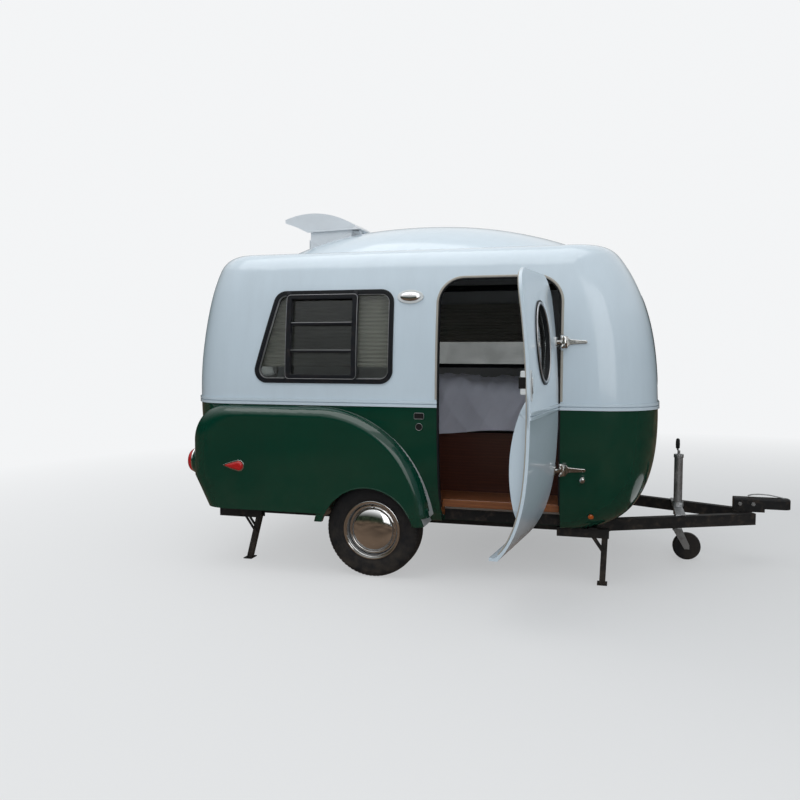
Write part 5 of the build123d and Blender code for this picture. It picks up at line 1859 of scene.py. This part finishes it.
@dataclass
class Tongue:
    """The jack's crank with its grip, and the coupler's latch lever and bolts."""

    jack_x: float = 1.862
    jack_top: float = 0.708
    bolts_x: tuple[float, float] = (2.248, 2.330)
    bolt_y: float = 0.040
    bolt_z: float = 0.402

    def build(self) -> None:
        """Makes the fittings."""
        top = np.array((self.jack_x, 0.0, self.jack_top))
        shaft = rod(top, top + (0.0, 0.0, 0.030), 0.009, 24)
        arm = rod(top + (0.0, -0.012, 0.024), top + (0.0, 0.118, 0.024), 0.0065, 24)
        shaft.plus(arm).piece("jack_crank", Finish.ZINC, "trailer", bevel=0.0015)
        grip = [(0.0, 0.0), (0.0, 0.009), (0.006, 0.013), (0.030, 0.0145), (0.062, 0.0125), (0.070, 0.007),
                (0.071, 0.0)]
        grip = turned(grip, top + (0.0, 0.110, 0.029), UP, 32)
        grip.piece("jack_grip", Finish.GASKET, "trailer")
        path = np.array([(2.520, 0.0, 0.4435), (2.478, 0.0, 0.452), (2.430, 0.0, 0.461),
                         (2.370, 0.0, 0.464), (2.325, 0.0, 0.460), (2.300, 0.0, 0.451)])
        strip = bar(0.024, -0.002, 0.002, 0.0008)
        lever = swept(even(path, 0.01, False), np.array(UP), strip, False)
        lever.piece("coupler_lever", Finish.ZINC, "trailer")
        head = [(-0.001, 0.0), (-0.001, 0.0135), (0.0015, 0.0135), (0.0015, 0.0105), (0.009, 0.0100),
                (0.009, 0.0)]
        heads = [turned(head, (x, sign * self.bolt_y, self.bolt_z), (0.0, sign, 0.0), 6)
                 for x in self.bolts_x for sign in (-1, 1)]
        heads[0].plus(*heads[1:]).piece("coupler_bolts", Finish.ZINC, "trailer", flat=True)


# Studio


@dataclass
class Studio:
    """The camera, the pale floor, the sky and the lamps."""

    camera_at: Point = (1.474, -5.667, 1.427)
    turn: float = 0.269
    dip: float = 0.065
    lens: float = 36.0
    floor_radius: float = 40.0
    floor_white: float = 0.45
    pale: Colour = (0.90, 0.91, 0.92)
    trees: float = 9.0
    lit: Point = (0.2, 0.0, 1.0)

    def build(self) -> None:
        """Makes the studio."""
        self.camera()
        self.floor()
        self.surroundings()
        self.sky()
        self.lamps()
        bpy.context.scene.view_settings.view_transform = "Standard"

    def camera(self) -> None:
        """The camera at the photograph's viewing angle, its lens as long as its sensor is wide."""
        data = bpy.data.cameras.new("camera")
        data.lens = self.lens
        data.sensor_width = self.lens
        ahead = np.array((-sin(self.turn) * cos(self.dip), cos(self.turn) * cos(self.dip), -sin(self.dip)))
        right = np.array((cos(self.turn), sin(self.turn), 0.0))
        bpy.context.scene.camera = self.aimed("camera", data, self.camera_at, right, ahead)

    def aimed(self, name: str, data: bpy.types.ID, place: Point, right: np.ndarray,
              ahead: np.ndarray) -> bpy.types.Object:
        """Places a camera or a lamp.

        Args:
            name: The object's name.
            data: The camera or lamp.
            place: Where it stands, in ground points.
            right: The direction of its right side.
            ahead: The direction it looks in.

        Returns:
            The new object.
        """
        frame = np.eye(4)
        frame[:3, 0], frame[:3, 1], frame[:3, 2] = right, np.cross(right, ahead), -ahead
        frame[:3, 3] = np.array(place) - TOW_BALL
        held = bpy.data.objects.new(name, data)
        held.matrix_world = Matrix(frame.tolist())
        bpy.context.scene.collection.objects.link(held)
        return held

    def floor(self) -> None:
        """A wide pale floor that keeps the object's shadow and fades into the background."""
        count = 64
        turn = np.arange(count) / count * 2 * pi
        rim = np.stack((np.cos(turn), np.sin(turn), np.zeros(count)), axis=1) * self.floor_radius
        floor = self.staged("floor", rim, [list(range(count))])
        floor.visible_glossy = False
        draft = Draft.begin("studio_floor")
        board = draft.board
        draft.give(Base_Color=(0.70, 0.70, 0.70), Roughness=0.9, Specular_IOR_Level=0.0)
        radius = board.add("ShaderNodeVectorMath", {"operation": "LENGTH"})
        board.feed(radius.inputs[0], draft.where)
        far = board.spread(radius.outputs["Value"], 2.0, 8.5, self.floor_white, 1.0)
        seen = board.maths("MULTIPLY", far, board.add("ShaderNodeLightPath").outputs["Is Camera Ray"])
        glow = board.add("ShaderNodeEmission", Color=self.pale, Strength=1.0)
        board.show(board.mixed(seen, draft.shader.outputs[0], glow.outputs[0]))
        floor.data.materials.append(draft.material)

    def surroundings(self) -> None:
        """A dark bowl that only mirrors see: ground and a line of trees below a pale sky."""
        count = 96
        turn = np.arange(count) / count * 2 * pi
        radius = np.array([0.5, 4.0, 9.0, 12.0, 12.5, 13.0, 13.5])
        height = np.array([-0.01, -0.01, -0.01, 0.3, 3.0, 6.0, self.trees])
        spoke = np.stack((np.cos(turn), np.sin(turn)), axis=1)
        level = np.broadcast_to(height[:, None, None], (len(radius), count, 1))
        points = np.concatenate((radius[:, None, None] * spoke[None], level), axis=2)
        faces = quads(len(radius), count, False, True).tolist()
        bowl = self.staged("surroundings", points.reshape(-1, 3), faces)
        for kind in ("camera", "diffuse", "transmission", "shadow", "volume_scatter"):
            setattr(bowl, f"visible_{kind}", False)
        material = bpy.data.materials.new("surroundings")
        material.use_nodes = True
        board = Board(material.node_tree)
        where = board.add("ShaderNodeTexCoord").outputs["Object"]
        level = board.add("ShaderNodeSeparateXYZ", Vector=where).outputs["Z"]
        leaves = board.spread(board.noise(where, 0.8, 6.0, 0.6), 0.35, 0.65)
        patches = board.spread(board.noise(where, 0.45, 4.0), 0.35, 0.65)
        ground = board.blend(patches, (0.17, 0.12, 0.085), (0.050, 0.037, 0.028))
        trunks = board.blend(leaves, (0.006, 0.009, 0.007), (0.040, 0.056, 0.034))
        shade = board.blend(board.spread(level, -0.2, 0.9), ground, trunks)
        shade = board.blend(board.spread(level, 2.5, self.trees - 0.5), shade, self.pale)
        glow = board.add("ShaderNodeEmission", Color=shade, Strength=1.0)
        board.show(glow.outputs[0])
        bowl.data.materials.append(material)

    def staged(self, name: str, points: np.ndarray, faces: list[list[int]]) -> bpy.types.Object:
        """A part of the studio, made from ground points.

        Args:
            name: Its name.
            points: The points, one a row.
            faces: Each face's points, by number.

        Returns:
            The part.
        """
        mesh = bpy.data.meshes.new(name)
        mesh.from_pydata((points - (0.0, 0.0, TOW_BALL[2])).tolist(), [], faces)
        part = bpy.data.objects.new(name, mesh)
        bpy.context.scene.collection.objects.link(part)
        return part

    def sky(self) -> None:
        """A background that is pale to the camera and to glossy and clear rays, and an even light."""
        world = bpy.data.worlds.new("studio")
        bpy.context.scene.world = world
        world.use_nodes = True
        board = Board(world.node_tree)
        for node in list(world.node_tree.nodes):
            world.node_tree.nodes.remove(node)
        seen = board.add("ShaderNodeBackground", Color=self.pale, Strength=1.0)
        light = board.add("ShaderNodeBackground", Color=(0.88, 0.95, 1.0), Strength=0.44)
        path = board.add("ShaderNodeLightPath")
        shown = board.maths("ADD", path.outputs["Is Camera Ray"], path.outputs["Is Glossy Ray"])
        shown = board.maths("ADD", shown, path.outputs["Is Transmission Ray"])
        out = board.add("ShaderNodeOutputWorld")
        board.feed(out.inputs["Surface"], board.mixed(shown, light.outputs[0], seen.outputs[0]))

    def lamps(self) -> None:
        """A broad soft lamp overhead and a weaker one from the camera's side."""
        for name, size, power, place in (("overhead", 6.0, 150.0, (-0.5, -1.5, 6.0)),
                                         ("fill", 4.0, 70.0, (3.0, -6.5, 3.0))):
            data = bpy.data.lights.new(name, "AREA")
            data.size = size
            data.energy = power
            ahead = unit(np.array(self.lit) - np.array(place))
            self.aimed(name, data, place, unit(np.cross(ahead, UP)), ahead)


def dress_nodes(model: Model) -> None:
    """Replaces the nodes that keep their own shape by smoother copies in their finishes."""
    smooth = {
        Finish.WHITE: ("door_skin", "door_liner", "hatch_upper"),
        Finish.GREEN: ("hatch_lower",),
        Finish.VENT: ("vent_lid", "vent_base"),
        Finish.GASKET: ("door_seal",),
        Finish.HINGE: ("door_hinges_body", "door_hinges_door", "hatch_hinges_body", "hatch_hinges_hatch"),
        Finish.TYRE: ("jack_wheel",),
        Finish.WHEEL: ("left_rim", "right_rim"),
        Finish.ZINC: ("jack_tube", "jack_leg", "jack_fork"),
        Finish.FLOOR: ("floor_panel",),
        Finish.BUNK: ("bunk_box",),
        Finish.BLIND: ("blinds",),
    }
    for finish, names in smooth.items():
        for name in names:
            model.refined(name, finish)
    edged = ["frame_rails", "frame_crossmembers", "coupler", "axle_beam", "torsion_arms", "stand_brackets"]
    edged += [f"{side.word}_{end}_stand_{part}"
              for side in Side for end in ("front", "rear") for part in ("leg", "brace")]
    for name in edged:
        model.refined(name, Finish.STEEL, bevel=0.0015)


def main() -> None:
    """Builds the trailer's looks, one sub-assembly after another."""
    logging.basicConfig(level=logging.INFO, format="%(name)s %(message)s")
    model = Model()
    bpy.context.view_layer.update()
    Studio().build()
    right = model.wall(station=0.405, axis=1, sign=Side.RIGHT.value, low=0.36, high=1.85)
    left = model.wall(station=1.000, axis=1, sign=Side.LEFT.value, low=0.36, high=1.85)
    Shells(model).build()
    front = model.wall(station=0.600, axis=0, sign=1, low=1.10, high=1.85)
    hatch = model.wall(station=0.500, axis=0, sign=-1, low=1.10, high=1.70, nodes=("hatch_upper",))
    Window(model, "right", "trailer", right, rear_bottom=-0.797, rear_top=-0.632, front=0.140,
           sash=(-0.545, -0.108), bars=(1.576, 1.405)).build()
    Window(model, "left", "trailer", left, rear_bottom=-0.100, rear_top=-0.100, front=0.850,
           low=1.262).build()
    Window(model, "front", "trailer", front, rear_bottom=-0.540, rear_top=-0.540, front=0.540,
           low=1.197, high=1.755).build()
    Window(model, "hatch", "rear_hatch", hatch, rear_bottom=-0.440, rear_top=-0.440, front=0.440,
           low=1.170, high=1.640).build()
    Doorway(right).build()
    SideDoor(model, right).build()
    Lamps(right).build()
    for side in Side:
        RoadWheel(model, side).build()
    Bed(model).build()
    RearHatch(model).build()
    Tongue().build()
    dress_nodes(model)


if __name__ == "__main__":
    main()
